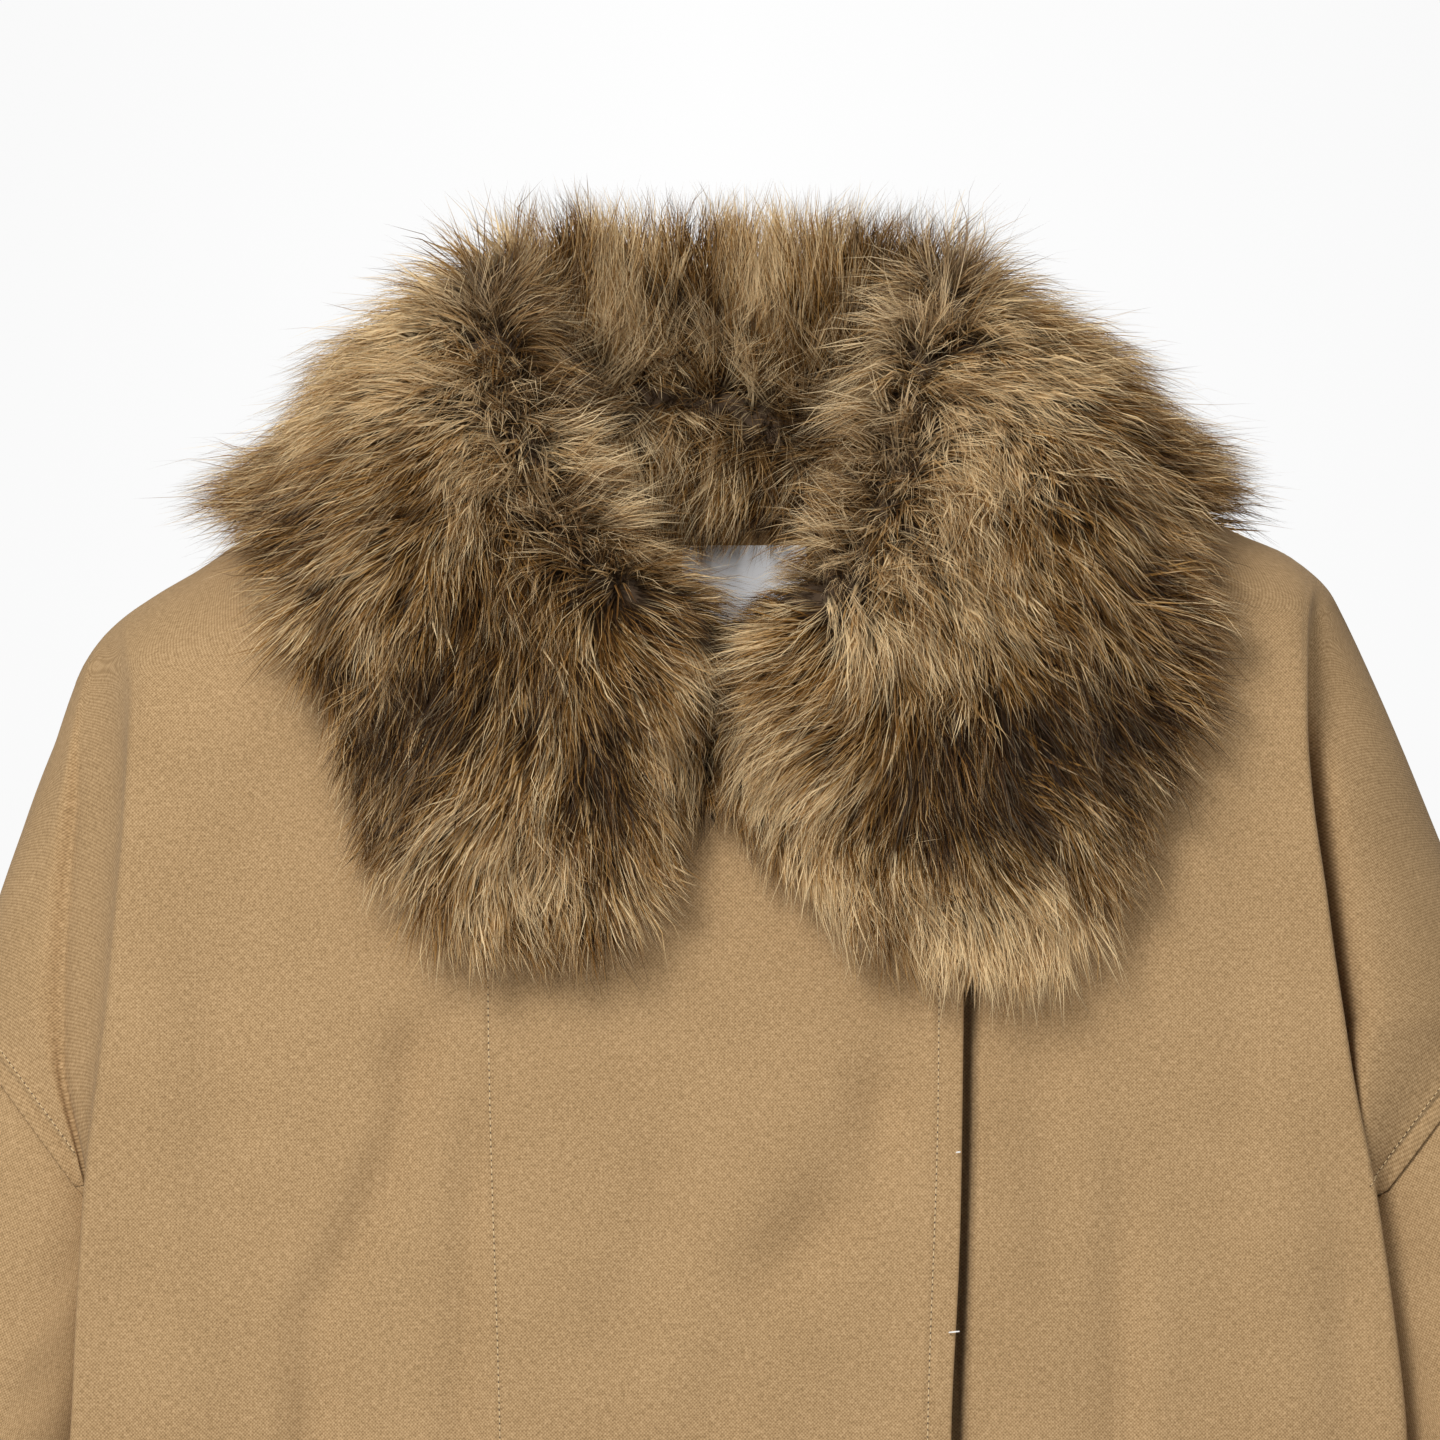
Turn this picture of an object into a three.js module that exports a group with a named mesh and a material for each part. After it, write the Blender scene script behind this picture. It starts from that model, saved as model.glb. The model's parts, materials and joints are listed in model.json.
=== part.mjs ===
import * as THREE from 'three';

// An oversized short jacket with dropped shoulders, a wide wrapped front and a large fur
// collar, as it hangs from its shoulders with no wearer in it. Millimetres, +Z up, front
// towards -Y, the wearer's left towards +X. Z = 0 is the level at which the shoulders hold it.
// Heights are given as a "drop", the distance below that level.

// ---- driving sizes -------------------------------------------------------------------------
const CLOTH_WALL = 2;             // cotton with its facing or turned seam behind it
const BAND_WALL = 3;              // cuffs are folded double
const SEAM_GAP = 0.3;             // pieces stand this far apart at a seam
const PLY_GAP = 0.8;              // air between the wrap and the front under it

const NECK_HALF = 89;             // half the neck width
const FRONT_NECK_DROP = 88;
const BACK_NECK_DROP = 38;
const SHOULDER_ROLL = 70;         // height over which the shoulder rounds to the front
const CHEST_FLAT = 0.12;          // how much shallower the body is at its sides
const UNDERARM_DROP = 400;
const HEM_SEAM_DROP = 600;
const HEM_DROP = 655;

const WRAP_EDGE = [[92, 88], [240, 87], [370, 83], [600, 81]];   // drop, x beyond the middle
const UNDER_EDGE = [[92, 78], [600, 76]];
const WRAP_TOP_DROP = 92;

const CUFF_LENGTH = 58;
const CUFF_LEAN = 15;             // degrees off plumb

const LABEL = { middle: 9, width: 46, top: 43, height: 30, wall: 0.8, gap: 0.9 };

// Depth of the body in front of and behind the shoulder line: drop, depth.
const FRONT_DEPTH = [[0, 58], [90, 64], [200, 74], [300, 79], [450, 80], [560, 84], [600, 68]];
const BACK_DEPTH = [[0, 56], [40, 57], [120, 66], [250, 72], [450, 72], [560, 76], [600, 62]];

// Each side of the jacket. All columns are drop, distance from the middle.
//   outline  shoulder seam, tip, then the sleeve's outer edge
//   ridge    fold where the front (or back) hangs plumb from the shoulder tip
//   trough   bottom of the fold behind that ridge, down to the underarm
//   seam     armhole seam where it crosses the sleeve's face
//   side     side seam below the underarm
//   girth    sleeve's half width across
const RIGHT = {
  sign: -1, foldTop: 94, seamTop: 218, seamCross: 282,
  outline: [[10, 90], [22, 125], [42, 176], [52, 191], [62, 208], [73, 223], [87, 234],
    [117, 245], [166, 263], [218, 280], [300, 307], [400, 340], [500, 371], [560, 386],
    [600, 391], [630, 394]],
  ridge: [[94, 215], [115, 215], [219, 224], [281, 232], [370, 240], [480, 246],
    [560, 250], [600, 226]],
  trough: [[94, 232], [120, 234], [158, 236], [203, 237], [228, 238], [282, 231],
    [340, 229], [400, 226]],
  backRidge: [[94, 212], [160, 216], [260, 224], [370, 234], [480, 243], [560, 248],
    [600, 224]],
  backTrough: [[94, 226], [160, 229], [228, 233], [282, 229], [340, 227], [400, 226]],
  seam: [[218, 280], [241, 262], [282, 231]],
  side: [[400, 226], [480, 233], [560, 238], [600, 216]],
  girth: [[60, 45], [100, 50], [150, 55], [218, 60], [300, 60], [400, 57], [480, 58],
    [560, 55], [600, 47], [630, 45]],
};
const LEFT = {
  sign: 1, foldTop: 72, seamTop: 218, seamCross: 284,
  outline: [[5, 90], [19, 135], [28, 163], [35, 181], [41, 195], [46, 207], [53, 217],
    [60, 224], [71, 230], [88, 238], [113, 249], [150, 264], [218, 292], [300, 323],
    [400, 354], [500, 384], [560, 400], [600, 405], [630, 408]],
  ridge: [[72, 215], [108, 214], [137, 216], [173, 221], [224, 228], [284, 239],
    [370, 251], [480, 257], [560, 260], [600, 234]],
  trough: [[72, 219], [108, 218], [137, 221], [173, 226], [224, 232], [284, 239],
    [340, 238], [400, 236]],
  backRidge: [[72, 214], [160, 220], [260, 230], [370, 243], [480, 252], [560, 257],
    [600, 232]],
  backTrough: [[72, 224], [160, 229], [228, 236], [284, 238], [340, 237], [400, 236]],
  seam: [[218, 292], [250, 265], [284, 239]],
  side: [[400, 236], [480, 242], [560, 247], [600, 224]],
  girth: [[60, 45], [100, 50], [150, 56], [218, 62], [300, 61], [400, 59], [480, 59],
    [560, 55], [600, 47], [630, 45]],
};
// Sleeve's half depth, front to back: drop, depth.
const SLEEVE_DEPTH = [[60, 35], [100, 36], [150, 38], [218, 42], [300, 54], [400, 66],
  [480, 66], [560, 60], [600, 43], [630, 41]];

// Soft hanging folds. x and drop of the upper end, x and drop of the lower end, half width,
// depth (sunk where positive, raised where negative).
const FRONT_FOLDS = [
  { x0: -140, top: 225, x1: -160, bottom: 600, half: 24, deep: 3.2 },
  { x0: -196, top: 130, x1: -205, bottom: 600, half: 18, deep: -2.4 },
  { x0: 146, top: 240, x1: 150, bottom: 600, half: 22, deep: 3.0 },
  { x0: 200, top: 200, x1: 215, bottom: 600, half: 16, deep: -2.2 },
];
const BACK_FOLDS = [
  { x0: -150, top: 170, x1: -165, bottom: 600, half: 26, deep: 4.0 },
  { x0: -60, top: 230, x1: -70, bottom: 600, half: 30, deep: 3.0 },
  { x0: 70, top: 260, x1: 62, bottom: 600, half: 30, deep: 3.2 },
  { x0: 160, top: 150, x1: 172, bottom: 600, half: 24, deep: 4.0 },
];

// Drops at which the armhole seam carries a point, shared by the panels and the sleeve.
const SEAM_STEPS = [0, 0.18, 0.47, 0.73, 1];      // share of the way to the crossing
const TROUGH_DROPS = [325, 362, 388, UNDERARM_DROP];
const SEAM_STEP_DOWN = 1.0;          // clearance of the sleeve's head below the seam
const WALL_BOW = 0.13;            // share by which a fold's side wall sags in
const LOWER_DROPS = [440, 490, 540, 574, HEM_SEAM_DROP];
const COLUMNS = { wrap: 3, neck: 4, shoulder: 5, corner: 2, wall: 2, sleeve: 4 };
const YOKE_ROWS = 5;
const CHEST_ROWS = 3;
const SLEEVE_ROWS = [0, 0.12, 0.28, 0.45, 0.62, 0.78, 0.9, 1];

// Fur collar by station. neck: degrees round the neck edge from the middle front (0) to the
// shoulder (90) and on to the middle back (180). roll: the top of the roll. edge: reach of
// the fur at the leaf's outer edge. Columns: neck, roll x, roll y, roll drop, edge x, edge drop.
const COLLAR_RIGHT = [
  [0, 5, -86, 64, 6, 160], [12, 15, -91, 60, 30, 175], [25, 32, -92, 51, 60, 200],
  [38, 47, -88, 41, 88, 203], [50, 57, -80, 27, 112, 188], [62, 64, -66, 6, 132, 160],
  [73, 70, -48, -20, 146, 126], [82, 76, -27, -46, 162, 86], [90, 82, -2, -62, 183, 42],
  [112, 80, 28, -70, 176, 78], [135, 62, 48, -74, 138, 106], [158, 32, 60, -76, 74, 118],
  [180, 0, 64, -76, 0, 122],
];
const COLLAR_LEFT = [
  [0, 4, -86, 68, 4, 163], [12, 15, -91, 63, 36, 180], [25, 30, -92, 54, 70, 200],
  [38, 42, -88, 43, 104, 208], [50, 50, -80, 27, 134, 196], [62, 57, -66, 5, 155, 170],
  [73, 62, -48, -21, 167, 138], [82, 68, -27, -47, 182, 92], [90, 75, -2, -64, 190, 42],
  [112, 74, 28, -71, 180, 78], [135, 58, 48, -74, 140, 106], [158, 31, 60, -76, 76, 118],
  [180, 0, 64, -76, 0, 122],
];
// Fur standing off the cloth at three places along the leaf: neck, near roll, middle, edge.
const COLLAR_PUFF = [[0, 40, 33, 18], [60, 44, 36, 20], [90, 56, 38, 18], [120, 50, 36, 18],
  [180, 48, 34, 18]];
const COLLAR_UNDER = 2.2;         // air between leaf and shoulder
const COLLAR_TIP = 9;             // edge's reach above the cloth
const COLLAR_CLEAR = 1;           // height of its foot above the neck edge
const COLLAR_INWARD = 13;         // fur standing into the neck opening
const COLLAR_PITCH = 18;          // spacing of the collar's stations at its edge

// ---- small tools ---------------------------------------------------------------------------
const mix = (a, b, t) => a + (b - a) * t;
const clamp = (t) => Math.min(1, Math.max(0, t));
const ease = (t) => clamp(t) ** 2 * (3 - 2 * clamp(t));
const radians = (degrees) => degrees * Math.PI / 180;

// Smooth reading of one column of a table, with no overshoot between its rows.
function smooth(table, column = 1) {
  const last = table.length - 1;
  const key = (i) => table[i][0];
  const value = (i) => table[i][column];
  const slope = (i) => (value(i + 1) - value(i)) / (key(i + 1) - key(i));
  const tangent = (i) => {
    if (i === 0) return slope(0);
    if (i === last) return slope(last - 1);
    const before = slope(i - 1);
    const after = slope(i);
    return before * after <= 0 ? 0 : 2 * before * after / (before + after);
  };
  return (at) => {
    if (at <= key(0)) return value(0) + tangent(0) * (at - key(0));
    if (at >= key(last)) return value(last);
    let i = 0;
    while (at > key(i + 1)) i += 1;
    const span = key(i + 1) - key(i);
    const t = (at - key(i)) / span;
    const t2 = t * t;
    const t3 = t2 * t;
    return value(i) * (2 * t3 - 3 * t2 + 1) + value(i + 1) * (3 * t2 - 2 * t3)
      + span * (tangent(i) * (t3 - 2 * t2 + t) + tangent(i + 1) * (t3 - t2));
  };
}

for (const side of [RIGHT, LEFT]) {
  side.at = {};
  for (const name of ['outline', 'ridge', 'trough', 'backRidge', 'backTrough', 'seam', 'side',
    'girth']) side.at[name] = smooth(side[name]);
}
const sleeveDepth = smooth(SLEEVE_DEPTH);
const wrapEdge = smooth(WRAP_EDGE);
const underEdge = smooth(UNDER_EDGE);

// Shoulder line over the whole width: drop of the shoulder seam at x.
const shoulderDrop = smooth([
  ...RIGHT.outline.filter((row) => row[0] <= UNDERARM_DROP).map(([drop, x]) => [-x, drop])
    .reverse(),
  [0, 2],
  ...LEFT.outline.filter((row) => row[0] <= UNDERARM_DROP).map(([drop, x]) => [x, drop]),
]);

const FRONT = { sign: -1, depth: smooth(FRONT_DEPTH), folds: FRONT_FOLDS,
  ridge: 'ridge', trough: 'trough' };
const BACK = { sign: 1, depth: smooth(BACK_DEPTH), folds: BACK_FOLDS,
  ridge: 'backRidge', trough: 'backTrough' };

function foldDepth(folds, x, drop) {
  let sum = 0;
  for (const { x0, top, x1, bottom, half, deep } of folds) {
    const along = (drop - top) / (bottom - top);
    const off = (x - mix(x0, x1, along)) / half;
    sum += deep * Math.exp(-off * off) * ease(along * 4) * (1 - ease((along - 0.9) * 10));
  }
  return sum;
}

// Depth of the body's face at x and drop, measured out from the shoulder line.
function bodyDepth(face, x, drop) {
  const below = drop - shoulderDrop(x);
  const turned = Math.sqrt(1 - (1 - clamp(below / SHOULDER_ROLL)) ** 2);
  const flat = 1 - CHEST_FLAT * (x / 240) ** 2;
  return face.depth(drop) * flat * turned - foldDepth(face.folds, x, drop);
}

// The hanging sleeve is an oval at every drop. Returns its depth at a distance x.
function sleeveOval(side, drop) {
  const half = side.at.girth(drop);
  return { half, middle: side.at.outline(drop) - half, deep: sleeveDepth(drop) };
}
function ovalTurn(oval, x) {
  return Math.acos(Math.min(1, Math.max(-1, (x - oval.middle) / oval.half)));
}

// ---- body panels ---------------------------------------------------------------------------
// Share of the wrap that lifts the right front clear of the left one.
function plyLift(panel, x, drop) {
  if (!panel.lifted) return 0;
  return (CLOTH_WALL + PLY_GAP) * ease((120 - x) / 36) * ease((drop - 50) / 35);
}

// One point of a panel's section at a drop. Columns run from the inner edge over the chest,
// round the fold and out over the sleeve. x is measured from the middle towards the side.
function panelPoint(panel, column, drop) {
  const { side, face, chest } = panel;
  const ridgeX = side.at[face.ridge](drop);
  const faceAt = (x) => bodyDepth(face, x * side.sign, drop) + plyLift(panel, x, drop);
  const ridge = [ridgeX, faceAt(ridgeX)];
  const open = drop < UNDERARM_DROP;
  const oval = sleeveOval(side, drop);
  const troughX = open ? side.at[face.trough](drop) : side.at.side(drop);
  const turn = ovalTurn(oval, troughX);
  const trough = [troughX, open ? oval.deep * Math.sin(turn) : SEAM_GAP / 2];
  const wall = [trough[0] - ridge[0], trough[1] - ridge[1]];
  const length = Math.hypot(...wall);
  const radius = Math.min(9, 0.42 * length);
  const start = ridgeX - radius;
  const inner = panel.inner(drop);
  const bendEnd = [ridge[0] + wall[0] / length * radius, ridge[1] + wall[1] / length * radius];

  if (column < chest.length) {
    const x = mix(inner, start, chest[column]);
    return [x, faceAt(x)];
  }
  let step = column - chest.length + 1;
  if (step <= COLUMNS.corner) {
    const t = step / COLUMNS.corner;
    const from = [start, faceAt(start)];
    return [0, 1].map((i) => (1 - t) ** 2 * from[i] + 2 * t * (1 - t) * ridge[i]
      + t * t * bendEnd[i]);
  }
  step -= COLUMNS.corner;
  if (step <= COLUMNS.wall) {
    const t = step / COLUMNS.wall;
    const bow = WALL_BOW * length * 4 * t * (1 - t);
    return [mix(bendEnd[0], trough[0], t) - bow, mix(bendEnd[1], trough[1], t)];
  }
  step -= COLUMNS.wall;
  const seamX = drop <= side.seamTop ? oval.middle + oval.half : side.at.seam(drop);
  if (drop >= side.seamCross) return trough;
  const phi = mix(turn, ovalTurn(oval, seamX), step / COLUMNS.sleeve);
  return [oval.middle + oval.half * Math.cos(phi), Math.max(SEAM_GAP / 2,
    oval.deep * Math.sin(phi))];
}

// Upper edge of a panel: wrap, neck, shoulder seam, and the start of the sleeve's top.
function topEdge(panel, column) {
  const { side, face, chest, wrapColumns } = panel;
  const foldX = side.at[face.ridge](side.foldTop);
  const outX = side.at.outline(side.foldTop);
  const neckDrop = shoulderDrop(NECK_HALF * side.sign);
  if (column < wrapColumns) {
    const t = column / wrapColumns;
    return [mix(panel.inner(WRAP_TOP_DROP), 0, t), mix(WRAP_TOP_DROP, face.neckDrop, t)];
  }
  let step = column - wrapColumns;
  if (step <= COLUMNS.neck) {
    const t = radians(90 * step / COLUMNS.neck);
    return [NECK_HALF * Math.sin(t), mix(neckDrop, face.neckDrop, Math.cos(t))];
  }
  step -= COLUMNS.neck;
  if (column < chest.length) {
    const x = mix(NECK_HALF, foldX, step / COLUMNS.shoulder);
    return [x, shoulderDrop(x * side.sign)];
  }
  const rest = COLUMNS.corner + COLUMNS.wall + COLUMNS.sleeve;
  const x = mix(foldX, outX, (column - chest.length + 1) / rest);
  return [x, shoulderDrop(x * side.sign)];
}

FRONT.neckDrop = FRONT_NECK_DROP;
FRONT.yokeDrop = 116;
BACK.neckDrop = BACK_NECK_DROP;
BACK.yokeDrop = 104;

function makePanel(side, face, inner, lifted) {
  const panel = { side, face, inner, lifted };
  const wrapWidth = inner(WRAP_TOP_DROP);
  panel.wrapColumns = wrapWidth < -1 ? COLUMNS.wrap : 0;
  const reach = side.at[face.ridge](side.foldTop);
  const marks = [];
  for (let i = 0; i < panel.wrapColumns; i += 1) marks.push(wrapWidth * (1 - i / COLUMNS.wrap));
  for (let i = 0; i <= COLUMNS.neck; i += 1) {
    marks.push(NECK_HALF * 0.97 * i / COLUMNS.neck);
  }
  for (let i = 1; i <= COLUMNS.shoulder; i += 1) {
    marks.push(mix(NECK_HALF * 0.97, reach, i / COLUMNS.shoulder));
  }
  panel.chest = marks.map((x) => (x - wrapWidth) / (reach - wrapWidth));
  panel.columns = marks.length + COLUMNS.corner + COLUMNS.wall + COLUMNS.sleeve;
  return panel;
}

// Rows of a panel, each a list of points, from the neck and shoulder down to the hem seam.
function panelRows(panel) {
  const { side, face } = panel;
  const place = ([x, depth], drop) => [x * side.sign, face.sign * depth, -drop];
  const waistline = (column) => {
    const share = ease(panel.chest[Math.min(column, panel.chest.length - 1)] * 1.6 - 0.6);
    return mix(face.yokeDrop, side.foldTop, share);
  };
  const rows = [];
  for (let r = 0; r < YOKE_ROWS; r += 1) {
    const t = r / YOKE_ROWS;
    const row = [];
    for (let column = 0; column < panel.columns; column += 1) {
      const [topX, topDrop] = topEdge(panel, column);
      const lowDrop = waistline(column);
      const [lowX, lowDepth] = panelPoint(panel, column, lowDrop);
      const share = 1 - Math.cos(t * Math.PI / 2);
      const x = mix(topX, lowX, share);
      const drop = mix(topDrop, lowDrop, share);
      const level = (px, pd) => bodyDepth(face, px * side.sign, pd) + plyLift(panel, px, pd);
      const depth = level(x, drop) + share * (lowDepth - level(lowX, lowDrop));
      row.push(place([x, Math.max(SEAM_GAP / 2, depth)], drop));
    }
    rows.push(row);
  }
  for (let r = 0; r < CHEST_ROWS; r += 1) {
    const row = [];
    for (let column = 0; column < panel.columns; column += 1) {
      const drop = mix(waistline(column), side.seamTop, r / CHEST_ROWS);
      row.push(place(panelPoint(panel, column, drop), drop));
    }
    rows.push(row);
  }
  for (const drop of [...seamDrops(side), ...LOWER_DROPS]) {
    const row = [];
    for (let column = 0; column < panel.columns; column += 1) {
      row.push(place(panelPoint(panel, column, drop), drop));
    }
    rows.push(row);
  }
  return rows;
}

function seamDrops(side) {
  return [...SEAM_STEPS.map((t) => mix(side.seamTop, side.seamCross, t)), ...TROUGH_DROPS];
}

// ---- solids --------------------------------------------------------------------------------
// Closed solid from rows of points on its outer face. The wall goes in behind them; points
// that coincide are one, and every open border of the face gets a rim.
function clothSolid(rows, wall, { turned = false, tube = false } = {}) {
  const points = [];
  const known = new Map();
  const index = rows.map((row) => row.map((p) => {
    const name = p.map((v) => v.toFixed(3)).join();
    if (!known.has(name)) {
      known.set(name, points.length);
      points.push(new THREE.Vector3(...p));
    }
    return known.get(name);
  }));
  const faces = [];
  const add = (a, b, c) => {
    if (a === b || b === c || c === a) return;
    faces.push(turned ? [a, c, b] : [a, b, c]);
  };
  for (let r = 0; r + 1 < index.length; r += 1) {
    const across = index[r].length;
    for (let c = 0; c + (tube ? 0 : 1) < across; c += 1) {
      const d = (c + 1) % across;
      add(index[r][c], index[r + 1][c], index[r + 1][d]);
      add(index[r][c], index[r + 1][d], index[r][d]);
    }
  }
  return shell(points, faces, wall);
}

function shell(points, faces, wall) {
  const normals = points.map(() => new THREE.Vector3());
  for (const [a, b, c] of faces) {
    const ab = points[b].clone().sub(points[a]);
    const normal = ab.cross(points[c].clone().sub(points[a]));
    for (const i of [a, b, c]) normals[i].add(normal);
  }
  const inner = points.map((p, i) => {
    const normal = normals[i];
    if (Math.abs(p.y) < SEAM_GAP) normal.y = 0;       // seam edges stay in the seam's plane
    return p.clone().addScaledVector(normal.normalize(), -wall);
  });
  const borders = new Map();
  for (const face of faces) {
    for (let i = 0; i < 3; i += 1) {
      const a = face[i];
      const b = face[(i + 1) % 3];
      if (borders.has(`${b},${a}`)) borders.delete(`${b},${a}`);
      else borders.set(`${a},${b}`, [a, b]);
    }
  }
  const count = points.length;
  const all = [...faces, ...faces.map(([a, b, c]) => [a + count, c + count, b + count])];
  for (const [a, b] of borders.values()) {
    all.push([a, a + count, b + count], [a, b + count, b]);
  }
  return geometry([...points, ...inner], all);
}

function geometry(points, faces) {
  const built = new THREE.BufferGeometry();
  built.setAttribute('position', new THREE.Float32BufferAttribute(
    points.flatMap((p) => [p.x, p.y, p.z]), 3));
  built.setIndex(faces.flat());
  built.computeVertexNormals();
  return built;
}

// ---- sleeve and cuff -----------------------------------------------------------------------
// Armhole seam as a closed loop of turns and drops, from the sleeve's top round the front.
function armhole(side) {
  const turnAt = (drop, face) => {
    if (drop <= side.seamTop) return 0;
    const x = drop < side.seamCross ? side.at.seam(drop) : side.at[face.trough](drop);
    return drop >= UNDERARM_DROP ? Math.PI : ovalTurn(sleeveOval(side, drop), x);
  };
  const drops = seamDrops(side);
  const front = drops.map((drop) => ({ face: -1, turn: turnAt(drop, FRONT), drop }));
  const back = drops.slice(1, -1).reverse()
    .map((drop) => ({ face: 1, turn: turnAt(drop, BACK), drop }));
  return [...front, ...back];
}

function sleeveRows(side) {
  const lean = Math.tan(radians(CUFF_LEAN));
  const loop = armhole(side);
  return SLEEVE_ROWS.map((t) => loop.map(({ face, turn, drop }) => {
    const end = HEM_SEAM_DROP - sleeveOval(side, HEM_SEAM_DROP).half * Math.cos(turn) * lean;
    const at = mix(drop + SEAM_STEP_DOWN, end, t);
    const oval = sleeveOval(side, at);
    return [side.sign * (oval.middle + oval.half * Math.cos(turn)),
      face * oval.deep * Math.sin(turn), -at];
  }));
}

function cuffRows(side) {
  const top = sleeveRows(side).at(-1);
  const lean = radians(CUFF_LEAN);
  const shift = (p, along, size) => {
    const oval = sleeveOval(side, HEM_SEAM_DROP);
    const middle = side.sign * oval.middle;
    return [middle + (p[0] - middle) * size + side.sign * along * Math.sin(lean),
      p[1] * size, -HEM_SEAM_DROP + (p[2] + HEM_SEAM_DROP) * size - along * Math.cos(lean)];
  };
  return [SEAM_GAP, CUFF_LENGTH / 2, CUFF_LENGTH]
    .map((along) => top.map((p) => shift(p, along, 1 - 0.02 * along / CUFF_LENGTH)));
}

// ---- fur collar ----------------------------------------------------------------------------
// A point of the body's outer face by x and by the distance round from the shoulder line,
// front positive, back negative.
const quarter = SHOULDER_ROLL * Math.PI / 2;
function roundOf(x, drop) {
  const below = Math.max(0, drop - shoulderDrop(x));
  if (below >= SHOULDER_ROLL) return quarter + below - SHOULDER_ROLL;
  return SHOULDER_ROLL * Math.acos(1 - below / SHOULDER_ROLL);
}
function onBody(x, round) {
  const face = round >= 0 ? FRONT : BACK;
  const far = Math.abs(round);
  const below = far < quarter ? SHOULDER_ROLL * (1 - Math.cos(far / SHOULDER_ROLL))
    : SHOULDER_ROLL + far - quarter;
  const drop = shoulderDrop(x) + below;
  const wrapLift = face === FRONT
    ? (CLOTH_WALL + PLY_GAP) * ease((120 - Math.abs(x)) / 36) * ease((drop - 50) / 35) : 0;
  return new THREE.Vector3(x, face.sign * (bodyDepth(face, x, drop) + wrapLift), -drop);
}
function offBody(x, round, height) {
  const step = 2;
  const alongX = onBody(x + step, round).sub(onBody(x - step, round));
  const alongR = onBody(x, round + step).sub(onBody(x, round - step));
  const normal = alongR.cross(alongX).normalize();
  return onBody(x, round).addScaledVector(normal, height);
}

// The leaf's edge by its distance round from the shoulder line.
function collarEdgeRound(table, sign) {
  return smooth(table.map(([neck, , , , x, drop]) => [neck,
    neck === 90 ? 0 : (neck < 90 ? 1 : -1) * roundOf(x * sign, drop)]));
}

// Stations round the neck, spaced evenly along the leaf's edge.
function collarNecks(table, sign) {
  const edge = collarEdgeRound(table, sign);
  const reach = smooth(table, 4);
  const necks = [0];
  for (let neck = 0.5; neck < 180; neck += 0.5) {
    const from = necks.at(-1);
    const gone = Math.hypot(edge(neck) - edge(from), reach(neck) - reach(from));
    if (gone > COLLAR_PITCH) necks.push(neck);
  }
  return [...necks, 180];
}

function collarStation(table, sign, neck) {
  const [rollX, rollY, rollDrop, edgeX] = [1, 2, 3, 4]
    .map((column) => smooth(table, column)(neck));
  const back = neck > 90;
  const turn = radians(back ? 180 - neck : neck);
  const neckDrop = shoulderDrop(NECK_HALF * sign);
  const lowDrop = back ? BACK_NECK_DROP : FRONT_NECK_DROP;
  const neckX = Math.max(3, NECK_HALF * Math.sin(turn));
  const way = back ? -1 : 1;
  const neckAt = [(neck === 180 ? 0 : neckX) * sign,
    mix(neckDrop, lowDrop, Math.cos(turn)) - COLLAR_CLEAR];
  const neckRound = way * roundOf(...neckAt);
  const edgeRound = collarEdgeRound(table, sign)(neck);
  const under = (share, height) => offBody(mix(neckAt[0], edgeX * sign, share),
    mix(neckRound, edgeRound, share), height);
  const [nearRoll, middle, nearEdge] = [1, 2, 3].map((c) => smooth(COLLAR_PUFF, c)(neck));
  const roll = new THREE.Vector3(rollX * sign, rollY, -rollDrop);
  const foot = under(0, mix(2.2, neck < 20 ? 1.4 : 0.8, ease(Math.abs(neck - 90) / 25)));
  const inward = new THREE.Vector3(-foot.x, -foot.y, 0).normalize();
  const inner = (share, reach) => foot.clone().lerp(roll, share).addScaledVector(inward, reach);
  const upper = [under(1, COLLAR_TIP), under(0.92, nearEdge), under(0.7, middle),
    under(0.4, nearRoll), roll, inner(0.62, COLLAR_INWARD), inner(0.25, COLLAR_INWARD * 0.7),
    foot];
  const rounded = new THREE.CatmullRomCurve3(upper, false, 'centripetal').getPoints(12);
  return [...rounded, ...[0.2, 0.45, 0.7, 0.94].map((share) => under(share, COLLAR_UNDER))];
}

function furCollar() {
  const loops = [
    ...collarNecks(COLLAR_RIGHT, -1).map((neck) => collarStation(COLLAR_RIGHT, -1, neck)),
    ...collarNecks(COLLAR_LEFT, 1).slice(0, -1).reverse()
      .map((neck) => collarStation(COLLAR_LEFT, 1, neck)),
  ];
  const around = loops[0].length;
  const points = loops.flat();
  const faces = [];
  for (let s = 0; s + 1 < loops.length; s += 1) {
    for (let i = 0; i < around; i += 1) {
      const a = s * around + i;
      const b = s * around + (i + 1) % around;
      faces.push([a, b, b + around], [a, b + around, a + around]);
    }
  }
  for (const [loop, flipped] of [[0, false], [loops.length - 1, true]]) {
    const middle = points.length;
    const start = loop * around;
    const centre = new THREE.Vector3();
    for (const p of loops[loop]) centre.addScaledVector(p, 1 / around);
    points.push(centre);
    for (let i = 0; i < around; i += 1) {
      const pair = [start + (i + 1) % around, start + i];
      faces.push([middle, ...(flipped ? pair.reverse() : pair)]);
    }
  }
  return geometry(points, faces);
}

// ---- label ---------------------------------------------------------------------------------
function neckLabel() {
  const rows = [0, 0.5, 1].map((down) => [0, 0.33, 0.67, 1].map((along) => {
    const x = LABEL.middle + LABEL.width * (along - 0.5);
    const drop = LABEL.top + LABEL.height * down;
    return [x, bodyDepth(BACK, x, drop) - CLOTH_WALL - LABEL.gap - LABEL.wall, -drop];
  }));
  return clothSolid(rows, LABEL.wall);
}

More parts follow.
